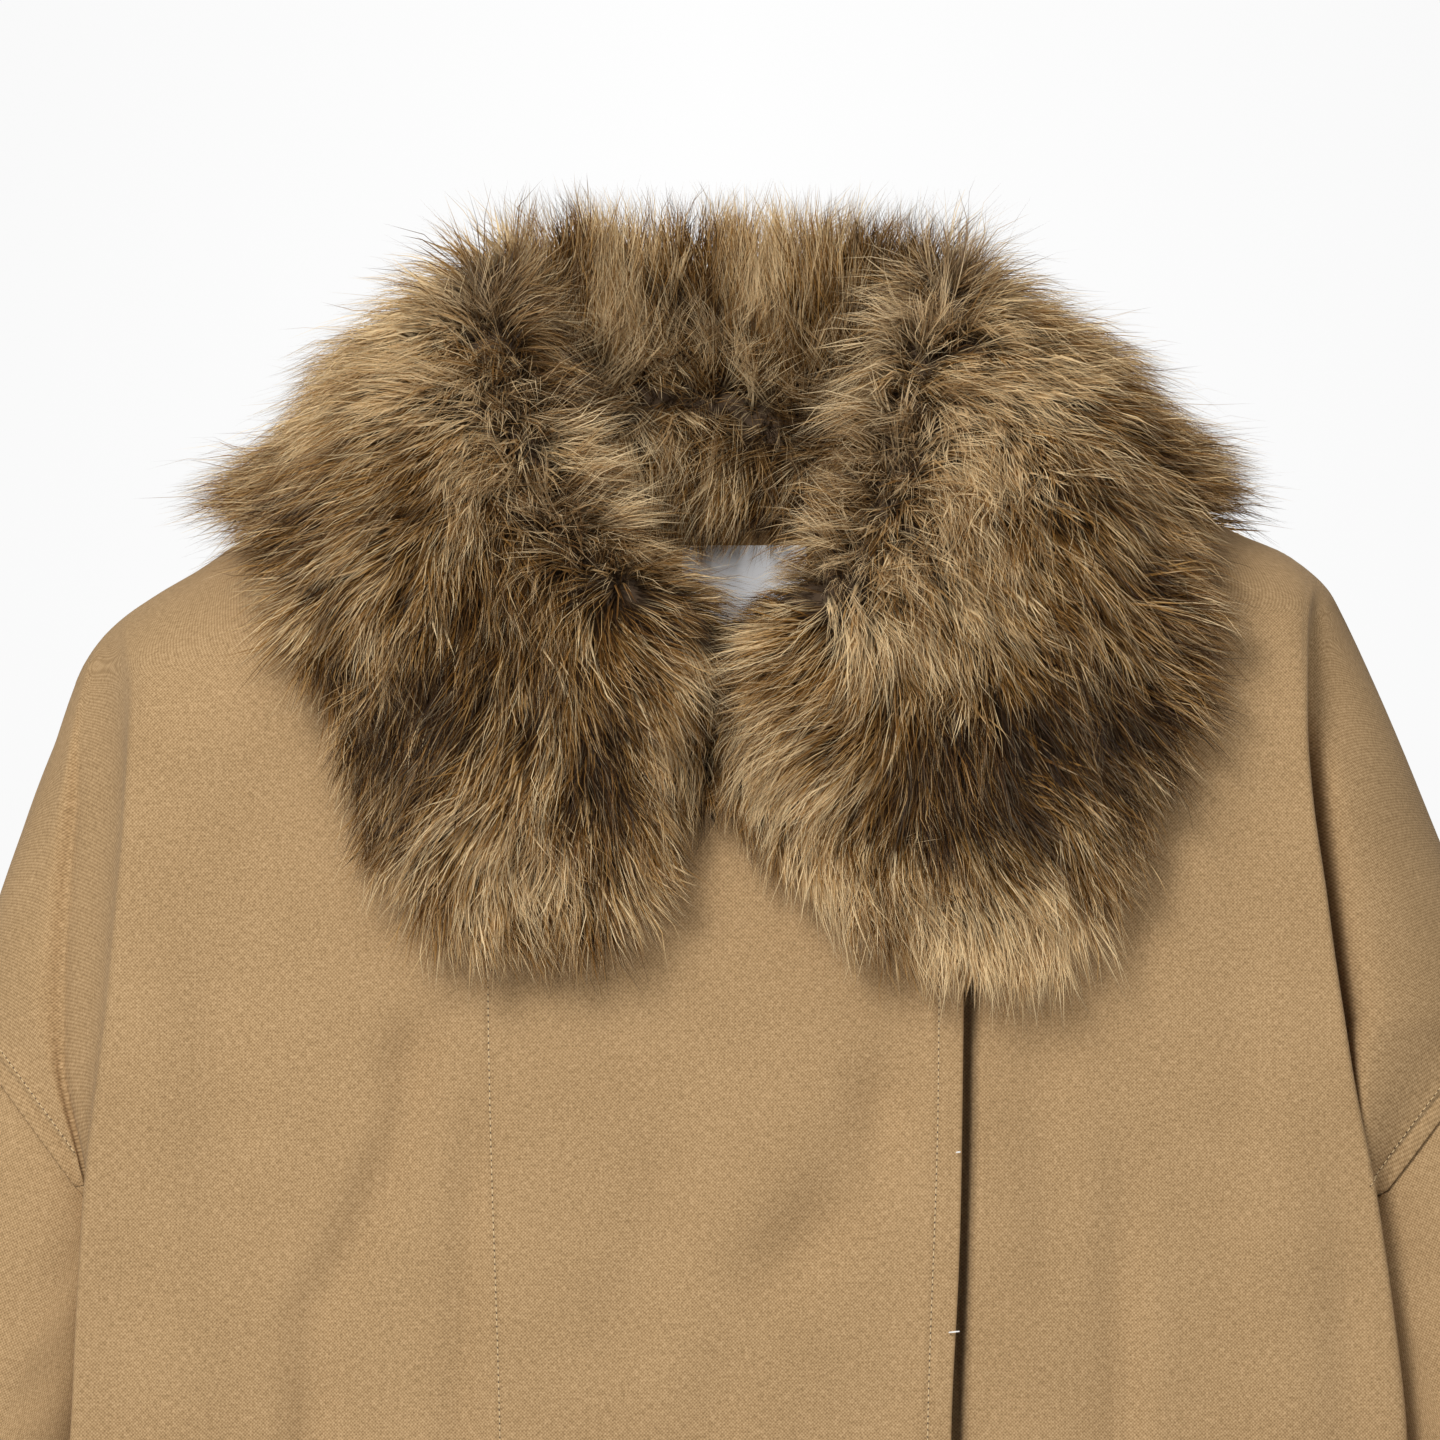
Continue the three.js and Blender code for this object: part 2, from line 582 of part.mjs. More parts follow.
// ---- the jacket ----------------------------------------------------------------------------
const cloth = { color: '#b4946a', roughness: 0.9, metalness: 0 };
const fur = { color: '#7a5a38', roughness: 1, metalness: 0 };
const woven = { color: '#f2f0ee', roughness: 0.8, metalness: 0 };

const group = new THREE.Group();
group.name = 'bomber_jacket';
function addPiece(name, shape, finish) {
  const mesh = new THREE.Mesh(shape, new THREE.MeshStandardMaterial(finish));
  mesh.name = name;
  group.add(mesh);
}

const rightFront = panelRows(makePanel(RIGHT, FRONT, (drop) => -wrapEdge(drop), true));
const leftFront = panelRows(makePanel(LEFT, FRONT, (drop) => -underEdge(drop), false));
const rightBack = panelRows(makePanel(RIGHT, BACK, () => 0, false));
const leftBack = panelRows(makePanel(LEFT, BACK, () => 0, false));
const wholeBack = rightBack.map((row, r) => [...[...row].reverse(), ...leftBack[r].slice(1)]);

addPiece('front_right', clothSolid(rightFront, CLOTH_WALL, { turned: true }), cloth);
addPiece('front_left', clothSolid(leftFront, CLOTH_WALL), cloth);
addPiece('back', clothSolid(wholeBack, CLOTH_WALL, { turned: true }), cloth);

for (const [name, side] of [['right', RIGHT], ['left', LEFT]]) {
  const turned = side === RIGHT;
  addPiece(`sleeve_${name}`, clothSolid(sleeveRows(side), CLOTH_WALL, { turned: !turned,
    tube: true }), cloth);
  addPiece(`cuff_${name}`, clothSolid(cuffRows(side), BAND_WALL, { turned: !turned,
    tube: true }), cloth);
}

// The hem band follows the lower edge of front, back and front as one strip.
const lowerEdge = [...rightFront.at(-1), ...wholeBack.at(-1), ...[...leftFront.at(-1)].reverse()];
const bandRows = [HEM_SEAM_DROP + SEAM_GAP, HEM_DROP]
  .map((drop) => lowerEdge.map(([x, y]) => [x, Math.abs(y) < SEAM_GAP ? 0 : y, -drop]));
addPiece('hem_band', clothSolid(bandRows, CLOTH_WALL, { turned: true }), cloth);

addPiece('fur_collar', furCollar(), fur);
addPiece('label', neckLabel(), woven);

export default group;
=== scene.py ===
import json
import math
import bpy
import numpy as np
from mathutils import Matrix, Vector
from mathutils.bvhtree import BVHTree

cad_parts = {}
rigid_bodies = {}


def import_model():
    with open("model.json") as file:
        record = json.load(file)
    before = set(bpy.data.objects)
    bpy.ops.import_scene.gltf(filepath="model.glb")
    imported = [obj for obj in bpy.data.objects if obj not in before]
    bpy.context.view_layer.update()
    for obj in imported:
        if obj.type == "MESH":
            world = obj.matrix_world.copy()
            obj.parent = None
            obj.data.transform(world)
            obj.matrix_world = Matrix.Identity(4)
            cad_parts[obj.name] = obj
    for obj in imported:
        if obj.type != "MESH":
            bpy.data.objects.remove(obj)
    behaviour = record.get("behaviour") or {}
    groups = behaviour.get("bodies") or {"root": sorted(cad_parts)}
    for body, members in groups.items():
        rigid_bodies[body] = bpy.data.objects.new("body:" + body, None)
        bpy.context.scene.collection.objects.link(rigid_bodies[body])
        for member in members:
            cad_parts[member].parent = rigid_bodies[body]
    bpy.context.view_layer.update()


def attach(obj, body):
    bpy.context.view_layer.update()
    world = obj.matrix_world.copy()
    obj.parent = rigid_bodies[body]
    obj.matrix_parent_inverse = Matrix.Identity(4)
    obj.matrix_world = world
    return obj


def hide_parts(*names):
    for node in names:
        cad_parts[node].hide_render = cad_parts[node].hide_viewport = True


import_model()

# %% [markdown]
# # A cotton jacket with a fur collar
# An oversized short jacket hangs empty from its shoulders: dropped shoulders, a wide front
# that wraps over to the wearer's left, and a large turned-down fur collar. The CAD frame
# gives each piece's place. Here each gets its cloth, its stitching or its fur.
# Lengths in the tables are millimetres. "drop" is the distance below the shoulders' level.

MM = 0.001
scene = bpy.context.scene


def mix(a, b, t):
    return a + (b - a) * t


def ease(t):
    t = np.clip(t, 0.0, 1.0)
    return t * t * (3 - 2 * t)


# %% Reading a table smoothly
def smooth(table, column=1):
    """Smooth reading of one column of a table, with no overshoot between its rows."""
    key = np.array([row[0] for row in table], float)
    value = np.array([row[column] for row in table], float)
    slope = np.diff(value) / np.diff(key)
    tangent = np.concatenate([slope[:1], np.zeros(len(key) - 2), slope[-1:]])
    for i in range(1, len(key) - 1):
        if slope[i - 1] * slope[i] > 0:
            tangent[i] = 2 * slope[i - 1] * slope[i] / (slope[i - 1] + slope[i])

    def read(at):
        at = np.asarray(at, float)
        i = np.clip(np.searchsorted(key, at) - 1, 0, len(slope) - 1)
        span = key[i + 1] - key[i]
        t = np.clip((at - key[i]) / span, 0, 1)
        bent = (value[i] * (2 * t**3 - 3 * t**2 + 1) + value[i + 1] * (3 * t**2 - 2 * t**3)
                + span * (tangent[i] * (t**3 - 2 * t**2 + t) + tangent[i + 1] * (t**3 - t**2)))
        below = value[0] + tangent[0] * (at - key[0])
        return np.where(at <= key[0], below, np.where(at >= key[-1], value[-1], bent))

    return read


# %% A soft uneven field
def waves(points, seed, length):
    """A soft uneven field of about -1 to 1 over points, with bumps about `length` mm apart."""
    count = 7                                     # plane waves that cross one another
    rng = np.random.default_rng(seed)
    turn = rng.normal(size=(count, 3))
    turn /= np.linalg.norm(turn, axis=1)[:, None]
    pace = 2 * np.pi / (length * rng.uniform(0.7, 1.6, count))
    phase = rng.uniform(0, 2 * np.pi, count)
    total = np.sin((points @ turn.T) * pace + phase).sum(axis=-1)
    return total / math.sqrt(count)


# %% Small helpers for meshes
def mesh_of(name, points, faces, smooth_faces=True):
    """A mesh from points in millimetres."""
    mesh = bpy.data.meshes.new(name)
    mesh.from_pydata((np.array(points) * MM).tolist(), [], faces)
    mesh.polygons.foreach_set("use_smooth", [smooth_faces] * len(mesh.polygons))
    mesh.update()
    return mesh


def put(mesh, key, values):
    """Stores a number, or a vector, at each point of a mesh."""
    values = np.asarray(values, np.float32)
    kind, field = ("FLOAT", "value") if values.ndim == 1 else ("FLOAT_VECTOR", "vector")
    mesh.attributes.new(key, kind, "POINT").data.foreach_set(field, values.ravel())


def in_scene(name, data):
    obj = bpy.data.objects.new(name, data)
    scene.collection.objects.link(obj)
    return obj


def triangles(mesh):
    return sum(len(p.vertices) - 2 for p in mesh.polygons)


def run_nodes(obj, tree, values):
    """Runs a tree on an object, with its inputs set, and keeps the result as a plain mesh."""
    nodes = obj.modifiers.new(tree.name, "NODES")
    nodes.node_group = tree
    for item in tree.interface.items_tree:
        if item.in_out == "INPUT" and item.name in values:
            nodes[item.identifier] = values[item.name]
    seen = bpy.context.evaluated_depsgraph_get()
    seen.update()
    made = bpy.data.meshes.new_from_object(obj.evaluated_get(seen))
    obj.modifiers.remove(nodes)
    obj.data = made
    made.name = obj.name
    return obj


# %% [markdown]
# ## The jacket's own sizes
# A jacket like this is cut flat and takes its form when it hangs. It could be found by a
# cloth simulation, but a draft is surer: these are the CAD source's driving sizes, so that
# the cloth lies on its solids, with ridges and troughs a few millimetres sharper. Each side
# has the outline of shoulder and sleeve, the ridge where the front hangs plumb from the
# shoulder tip, and the trough behind that ridge.

# %% Sizes of the body and the sleeves
NECK_HALF, FRONT_NECK_DROP, BACK_NECK_DROP, YOKE_FRONT, YOKE_BACK = 89, 88, 38, 116, 104
SHOULDER_ROLL, CHEST_FLAT, CHEST_HALF = 70, 0.12, 240
UNDERARM, HEM_SEAM, HEM = 400, 600, 655
RIDGE_RADIUS, RIDGE_ROUNDER, ROUNDER_FROM, ROUNDER_RUN = 3, 7, 280, 180
SEAM_GAP, WALL_BOW, PLY_RISE = 0.3, 0.13, 2.8
PLY_END, PLY_FADE, PLY_TOP, PLY_RUN = 120, 36, 50, 35       # where the upper ply runs out
WRAP_EDGE = [(92, 88), (240, 87), (370, 83), (600, 81)]
UNDER_EDGE = [(92, 78), (600, 76)]
WRAP_TOP = 92
CUFF_LENGTH, CUFF_LEAN = 58, math.radians(15)
LABEL = dict(middle=9, width=46, top=43, height=30, clear=3.6)

FRONT_DEPTH = [(0, 58), (90, 64), (200, 74), (300, 79), (450, 80), (560, 84), (600, 68)]
BACK_DEPTH = [(0, 56), (40, 57), (120, 66), (250, 72), (450, 72), (560, 76), (600, 62)]
SLEEVE_DEPTH = smooth([(60, 35), (100, 36), (150, 38), (218, 42), (300, 54), (400, 66),
                       (480, 66), (560, 60), (600, 43), (630, 41)])

RIGHT = dict(
    sign=-1, fold_top=94, seam_top=218, seam_cross=282,
    outline=[(10, 90), (22, 125), (42, 176), (52, 191), (62, 208), (73, 223), (87, 234),
             (117, 245), (166, 263), (218, 280), (300, 307), (400, 340), (500, 371),
             (560, 386), (600, 391), (630, 394)],
    ridge=[(94, 214), (115, 214), (219, 221.5), (281, 230), (370, 239), (480, 246),
           (560, 250), (600, 226)],
    trough=[(94, 234), (120, 237), (158, 239.5), (203, 241), (228, 241), (282, 231),
            (340, 229), (400, 226)],
    back_ridge=[(94, 212), (160, 216), (260, 224), (370, 234), (480, 243), (560, 248),
                (600, 224)],
    back_trough=[(94, 226), (160, 229), (228, 233), (282, 229), (340, 227), (400, 226)],
    seam=[(218, 280), (241, 262), (282, 231)],
    flank=[(400, 226), (480, 233), (560, 238), (600, 216)],
    girth=[(60, 45), (100, 50), (150, 55), (218, 60), (300, 60), (400, 57), (480, 58),
           (560, 55), (600, 47), (630, 45)])
LEFT = dict(
    sign=1, fold_top=72, seam_top=218, seam_cross=284,
    outline=[(5, 90), (19, 135), (28, 163), (35, 181), (41, 195), (46, 207), (53, 217),
             (60, 224), (71, 230), (88, 238), (113, 249), (150, 264), (218, 292),
             (300, 323), (400, 354), (500, 384), (560, 400), (600, 405), (630, 408)],
    ridge=[(72, 215), (108, 214), (137, 216), (173, 221), (224, 228), (284, 239),
           (370, 251), (480, 257), (560, 260), (600, 234)],
    trough=[(72, 217), (108, 213), (137, 215), (173, 219), (224, 226), (284, 235),
            (340, 236), (400, 236)],
    back_ridge=[(72, 214), (160, 220), (260, 230), (370, 243), (480, 252), (560, 257),
                (600, 232)],
    back_trough=[(72, 224), (160, 229), (228, 236), (284, 238), (340, 237), (400, 236)],
    seam=[(218, 292), (250, 265), (284, 239)],
    flank=[(400, 236), (480, 242), (560, 247), (600, 224)],
    girth=[(60, 45), (100, 50), (150, 56), (218, 62), (300, 61), (400, 59), (480, 59),
           (560, 55), (600, 47), (630, 45)])

# %% Large hanging folds, and what the front and the back each have
# x and drop of the upper end, x of the lower end, half width, depth (raised if negative).
# All run out above the hem seam.
FRONT_FOLDS = [(-140, 225, -160, 24, 3.2), (-196, 130, -205, 18, -2.4),
               (146, 240, 150, 22, 3.0), (200, 200, 215, 16, -2.2)]
BACK_FOLDS = [(-150, 170, -165, 26, 4.0), (-60, 230, -70, 30, 3.0),
              (70, 260, 62, 30, 3.2), (160, 150, 172, 24, 4.0)]

FRONT = dict(way=-1, depth=smooth(FRONT_DEPTH), folds=FRONT_FOLDS, ridge="ridge",
             trough="trough", neck_drop=FRONT_NECK_DROP, yoke_drop=YOKE_FRONT)
BACK = dict(way=1, depth=smooth(BACK_DEPTH), folds=BACK_FOLDS, ridge="back_ridge",
            trough="back_trough", neck_drop=BACK_NECK_DROP, yoke_drop=YOKE_BACK)

shoulder_drop = smooth(
    [(-x, drop) for drop, x in reversed(RIGHT["outline"]) if drop <= UNDERARM] + [(0, 2)]
    + [(x, drop) for drop, x in LEFT["outline"] if drop <= UNDERARM])
for side in (RIGHT, LEFT):
    side["at"] = {name: smooth(side[name]) for name in (
        "outline", "ridge", "trough", "back_ridge", "back_trough", "seam", "flank", "girth")}
wrap_edge, under_edge = smooth(WRAP_EDGE), smooth(UNDER_EDGE)


# %% [markdown]
# ## The form that hangs
# The body is flat over the chest and rolls over the shoulder on a large radius. Each arm is
# an oval tube. A panel's level section is put together from four stretches: the chest, the
# turn over the ridge, the wall that goes in to the trough, and the cap over the arm. Worked
# out as formulas, the same section serves every height and both sides.

# %% Form of the body
def fold_depth(folds, x, drop):
    total = 0.0
    for x0, top, x1, half, deep in folds:
        along = (drop - top) / (HEM_SEAM - top)
        off = (x - mix(x0, x1, along)) / half
        total = total + (deep * np.exp(-off * off) * ease(along * 4)
                         * (1 - ease((along - 0.9) * 10)))
    return total


def body_depth(face, x, drop):
    """Distance of the body's face from the shoulder line's plane."""
    below = np.clip((drop - shoulder_drop(x)) / SHOULDER_ROLL, 0, 1)
    turned = np.sqrt(1 - (1 - below) ** 2)
    flat = 1 - CHEST_FLAT * (x / CHEST_HALF) ** 2
    return face["depth"](drop) * flat * turned - fold_depth(face["folds"], x, drop)


def ply_lift(x, drop):
    """The wrapped front lies on the one under it."""
    return PLY_RISE * ease((PLY_END - x) / PLY_FADE) * ease((drop - PLY_TOP) / PLY_RUN)


def sleeve_oval(side, drop):
    half = side["at"]["girth"](drop)
    return half, side["at"]["outline"](drop) - half, SLEEVE_DEPTH(drop)


# %% One level section of a panel
def section(panel, zone, t, drop):
    """Distance from the middle and depth of a panel's column at each drop."""
    side, face, at = panel["side"], panel["face"], panel["side"]["at"]
    ridge_x = at[face["ridge"]](drop)

    def face_at(x):
        lift = ply_lift(x, drop) if panel["lifted"] else 0
        return body_depth(face, x * side["sign"], drop) + lift

    ridge_y = face_at(ridge_x)
    half, middle, deep = sleeve_oval(side, drop)
    open_sleeve = drop < UNDERARM
    trough_x = np.where(open_sleeve, at[face["trough"]](drop), at["flank"](drop))
    turn = np.arccos(np.clip((trough_x - middle) / half, -1, 1))
    trough_y = np.where(open_sleeve, deep * np.sin(turn), SEAM_GAP / 2)
    wall_x, wall_y = trough_x - ridge_x, trough_y - ridge_y
    length = np.hypot(wall_x, wall_y)
    radius = RIDGE_RADIUS + RIDGE_ROUNDER * ease((drop - ROUNDER_FROM) / ROUNDER_RUN)
    radius = np.minimum(radius, 0.42 * length)
    start = ridge_x - radius
    end_x, end_y = ridge_x + wall_x / length * radius, ridge_y + wall_y / length * radius
    if zone == "chest":
        x = mix(panel["inner"](drop), start, t)
        return x, face_at(x)
    if zone == "corner":
        share = ((1 - t) ** 2, 2 * t * (1 - t), t * t)
        return (share[0] * start + share[1] * ridge_x + share[2] * end_x,
                share[0] * face_at(start) + share[1] * ridge_y + share[2] * end_y)
    if zone == "wall":
        bow = WALL_BOW * length * 4 * t * (1 - t)
        return mix(end_x, trough_x, t) - bow, mix(end_y, trough_y, t)
    seam_x = np.where(drop <= side["seam_top"], middle + half, at["seam"](drop))
    seam_turn = np.arccos(np.clip((seam_x - middle) / half, -1, 1))
    phi = mix(turn, seam_turn, t)
    joined = drop >= side["seam_cross"]
    return (np.where(joined, trough_x, middle + half * np.cos(phi)),
            np.where(joined, trough_y, np.maximum(SEAM_GAP / 2, deep * np.sin(phi))))


# %% [markdown]
# ## From pattern to panel
# A front or a back is one cut piece: it comes down from neck and shoulder, turns the ridge
# below the shoulder tip, goes in to the trough and out over the top of the arm as far as
# the armhole seam. Each panel is made column by column, from neck to hem seam, closely
# enough that the folds stay round.

# %% Rows of a panel
ZONES = ["chest", "corner", "wall", "sleeve"]
CHEST_ZONE, WALL_ZONE, SLEEVE_ZONE = 0, 2, 3
YOKE = np.linspace(0, 1, 15)[:-1]             # rows between the shoulder and the ridge's top
ARM_CAP = np.linspace(0, 1, 19)[:-1]          # rows from there to the armhole seam
NECK_SIDE = NECK_HALF * 0.97                  # where the neck's curve meets the shoulder
FURROW = (72, 106)                            # the under front dips between these two
TOP_SHARES = {"corner": (0, 2), "wall": (2, 2), "sleeve": (4, 4)}   # in eighths of the tip


def fine_drops(side, pitch):
    marks = [side["seam_top"], side["seam_cross"], UNDERARM, HEM_SEAM]
    parts = [np.linspace(a, b, max(2, round((b - a) / pitch)), endpoint=False)
             for a, b in zip(marks[:-1], marks[1:])]
    return np.concatenate(parts + [[HEM_SEAM]])


# %% Columns of a panel, from its inner edge to the armhole seam
def panel_columns(inner_top, reach, lifted, pitch):
    """Zone, share of the zone, and distance from the middle for the chest's columns."""
    chest = np.linspace(inner_top, reach, round((reach - inner_top) / pitch) + 1)
    if lifted:                       # closer columns along the free edge
        chest = np.concatenate([inner_top + np.array([0, 1.0, 2.2, 3.6]), chest[1:]])
    elif inner_top < 0:              # and in the furrow of the front beneath it
        start, stop = FURROW
        chest = np.union1d(chest[(chest < start) | (chest > stop)],
                           np.arange(start, stop + 0.5, 1.5))
    columns = [("chest", (m - inner_top) / (reach - inner_top), m) for m in chest]
    columns += [("corner", t, None) for t in np.linspace(0, 1, 8)[1:]]
    # closer columns on both sides of the trough, which is a sharp crease
    columns += [("wall", 1 - (1 - t) ** 1.8, None) for t in np.linspace(0, 1, 9)[1:]]
    return columns + [("sleeve", t ** 1.7, None) for t in np.linspace(0, 1, 15)[1:]]


def column_top(side, face, column, inner_top, reach):
    """x and drop at which a column leaves the neck or the shoulder."""
    (zone, t, m), sign = column, side["sign"]
    if zone == "chest" and m < 0:
        return m, mix(WRAP_TOP, face["neck_drop"], 1 - m / inner_top)
    if zone == "chest" and m <= NECK_SIDE:
        turn = math.pi / 2 * m / NECK_SIDE
        neck_side = float(shoulder_drop(NECK_HALF * sign))
        return NECK_HALF * math.sin(turn), mix(neck_side, face["neck_drop"], math.cos(turn))
    if zone == "chest":
        x = mix(NECK_HALF, reach, (m - NECK_SIDE) / (reach - NECK_SIDE))
    else:
        start, run = TOP_SHARES[zone]
        x = mix(reach, float(side["at"]["outline"](side["fold_top"])), (start + run * t) / 8)
    return x, float(shoulder_drop(x * sign))


# %% A whole panel
def make_panel(side, face, inner, lifted=False, pitch=5.0):
    panel = dict(side=side, face=face, inner=inner, lifted=lifted)
    inner_top, sign = float(inner(WRAP_TOP)), side["sign"]
    reach = float(side["at"][face["ridge"]](side["fold_top"]))
    columns = panel_columns(inner_top, reach, lifted, pitch)
    low = fine_drops(side, pitch)
    grid = []
    for column in columns:
        zone, t, _ = column
        top = column_top(side, face, column, inner_top, reach)
        share = float(ease(t * 1.6 - 0.6)) if zone == "chest" else 1.0
        waist = mix(face["yoke_drop"], side["fold_top"], share)

        def level(x, drop):
            lift = ply_lift(x, drop) if lifted else 0
            return body_depth(face, x * sign, drop) + lift

        low_x, low_y = section(panel, zone, t, np.array([waist]))
        part = 1 - np.cos(YOKE * np.pi / 2)
        x_up, drop_up = mix(top[0], low_x, part), mix(top[1], waist, part)
        y_up = np.maximum(SEAM_GAP / 2, level(x_up, drop_up)
                          + part * (low_y - level(low_x, np.array([waist]))))
        drops = np.concatenate([mix(waist, side["seam_top"], ARM_CAP), low])
        x_low, y_low = section(panel, zone, t, drops)
        x = np.concatenate([x_up, x_low]) * sign
        y = np.concatenate([y_up, y_low]) * face["way"]
        z = -np.concatenate([drop_up, drops])
        grid.append(np.stack([x, y, z], axis=1))
    grid = np.stack(grid, axis=1)                       # rows, columns, xyz
    zones = np.array([ZONES.index(column[0]) for column in columns])
    panel["grid"], panel["zone"] = grid, np.broadcast_to(zones, grid.shape[:2]).copy()
    panel["t"] = np.broadcast_to(np.array([c[1] for c in columns]), grid.shape[:2]).copy()
    # ridge and trough run out softly into the shoulder
    near = np.exp(-((-grid[:, :, 2] - side["fold_top"]) / 15) ** 2)
    near = near * (panel["zone"] > CHEST_ZONE)
    near = 0.7 * near[1:-1, 1:-1, None]
    for _ in range(14):                                 # each point moves to its ring's middle
        ring = (grid[2:, 1:-1] + grid[:-2, 1:-1] + grid[1:-1, 2:] + grid[1:-1, :-2]) / 4
        grid[1:-1, 1:-1] += near * (ring - grid[1:-1, 1:-1])
    return panel


# %% [markdown]
# ## A sheet with two faces
# Cloth is thin, but it isn't a surface: it has an outer face, an inner face and a turned
# edge. A Solidify modifier would give it the same thickness everywhere. Made by hand, the
# sheet can be thicker at a facing and keep its seam edges in their plane. Points that fall
# together become one, soft creases are pressed along the outer face's normals, then the
# inner face goes in behind it, and every open border gets a rounded rim.

# %% Lengths along the cloth, and the size it was cut to
def cloth_lengths(grid):
    """Cloth coordinates in mm: across from the first column, up from the last row."""
    across = np.linalg.norm(np.diff(grid, axis=1), axis=2)
    down = np.linalg.norm(np.diff(grid, axis=0), axis=2)
    u = np.concatenate([np.zeros((len(grid), 1)), np.cumsum(across, axis=1)], axis=1)
    v = np.concatenate([np.cumsum(down[::-1], axis=0)[::-1], np.zeros((1, grid.shape[1]))])
    return u, v


def cut_size(grid, tube):
    """Width, length and area in metres of the cloth that a grid takes, one layer of it."""
    ring = np.concatenate([grid, grid[:, :1]], axis=1) if tube else grid
    width = np.linalg.norm(np.diff(ring, axis=1), axis=2).sum(axis=1).max()
    length = np.linalg.norm(np.diff(ring, axis=0), axis=2).sum(axis=0).max()
    a, b, c, d = ring[:-1, :-1], ring[1:, :-1], ring[1:, 1:], ring[:-1, 1:]
    area = np.linalg.norm(np.cross(c - a, d - b), axis=2).sum() / 2
    return round(width * MM, 3), round(length * MM, 3), round(area * MM * MM, 4)


cuts = {}


# %% Outer face, inner face and rim
COTTON, FACING, BAND, CUFF, SATIN = 1.1, 2.1, 1.9, 2.4, 0.5        # thickness of each wall
SAME_POINT = 0.02                             # points closer than this are one
FAR = 60.0                                    # "no seam or stitch line near", in mm


def plain_facts(u, v, **more):
    """What each point of a sheet knows: its cloth lengths, and how far its seams are."""
    far = np.full(u.shape, FAR)
    return dict(u=u, v=v, seam_off=far, line_off=far, line_two=far) | more


# %% Normals and borders
def vertex_normals(points, faces):
    """Area-weighted normals of a mesh of four-cornered faces."""
    a, b, c, d = (points[faces[:, i]] for i in range(4))
    cross = np.cross(c - a, d - b)
    total = np.zeros_like(points)
    for i in range(4):
        np.add.at(total, faces[:, i], cross)
    size = np.linalg.norm(total, axis=1)[:, None]
    return total / np.where(size > 1e-12, size, 1)


def border(lists):
    """The edges that only one face has."""
    edges = {}
    for f in lists:
        for k in range(len(f)):
            pair = (f[k], f[(k + 1) % len(f)])
            if (pair[1], pair[0]) in edges:
                del edges[(pair[1], pair[0])]
            else:
                edges[pair] = True
    return edges


# %% The sheet itself
def make_sheet(name, grid, facts, wall=COTTON, turned=False, tube=False, press=None, rim=0.45):
    """A closed sheet from a grid of points on its outer face. facts: a value per point."""
    cuts[name] = cut_size(grid, tube)
    rows, columns = grid.shape[:2]
    flat = grid.reshape(-1, 3)
    _, first, known = np.unique(np.round(flat / SAME_POINT).astype(np.int64), axis=0,
                                return_index=True, return_inverse=True)
    known = known.reshape(rows, columns)
    points = flat[first].copy()
    facts = {k: np.asarray(v, float).reshape(-1)[first] for k, v in facts.items()}
    width = columns if tube else columns - 1
    a, b = known[:-1, :width], known[1:, :width]
    c = np.roll(known, -1, axis=1)[1:, :width]
    d = np.roll(known, -1, axis=1)[:-1, :width]
    faces = np.stack([a, b, c, d], axis=-1).reshape(-1, 4)
    if turned:
        faces = faces[:, ::-1]
    corners = np.array([(f != np.roll(f, 1)).sum() for f in faces])
    faces = faces[corners >= 3]
    normals = vertex_normals(points, faces)
    if press is not None:
        points = points + normals * press(points, facts)[:, None]
        normals = vertex_normals(points, faces)
    thick = facts.get("wall", np.full(len(points), wall))
    plane = np.abs(points[:, 1]) < SEAM_GAP              # seam edges stay in their plane
    inward = normals.copy()
    inward[plane, 1] = 0
    size = np.linalg.norm(inward, axis=1)[:, None]
    inward = inward / np.where(size > 1e-9, size, 1)
    inner = points - inward * thick[:, None]
    count = len(points)
    lists = [[int(i) for k, i in enumerate(f) if i != f[k - 1]] for f in faces]
    edges = border(lists)
    outward = np.zeros_like(points)
    for p, q in edges:
        way = np.cross(points[q] - points[p], normals[p])
        outward[p] += way
        outward[q] += way
    ends = sorted({p for pair in edges for p in pair})
    place = {p: i for i, p in enumerate(ends)}
    out = outward[ends]
    out /= np.maximum(np.linalg.norm(out, axis=1)[:, None], 1e-9)
    centre = (points[ends] + inner[ends]) / 2
    half = (thick[ends] / 2)[:, None]
    rims = [centre + half * (math.cos(g) * inward[ends] + rim * 2 * math.sin(g) * out)
            for g in (math.pi * 0.3, math.pi * 0.7)]
    made = lists + [[i + count for i in reversed(f)] for f in lists]
    first_rim, second_rim = 2 * count, 2 * count + len(ends)
    for p, q in edges:
        steps = [(p, q), (first_rim + place[p], first_rim + place[q]),
                 (second_rim + place[p], second_rim + place[q]), (p + count, q + count)]
        for (p0, q0), (p1, q1) in zip(steps[:-1], steps[1:]):
            made.append([q0, p0, p1, q1])
    mesh = mesh_of(name, np.concatenate([points, inner] + rims), made)
    source = np.concatenate([np.arange(count)] * 2 + [np.array(ends)] * 2)
    for key, values in facts.items():
        put(mesh, key, values[source])
    loops = np.empty(len(mesh.loops), np.int32)
    mesh.loops.foreach_get("vertex_index", loops)
    uv = mesh.uv_layers.new(name="cloth")
    pairs = np.stack([facts["u"][source][loops], facts["v"][source][loops]], axis=1) * MM
    uv.data.foreach_set("uv", pairs.astype(np.float32).ravel())
    area = sum(p.area for p in mesh.polygons) / 2
    print(f"{name}: {triangles(mesh)} triangles, {area:.3f} m2 of cloth")
    return in_scene(name, mesh)


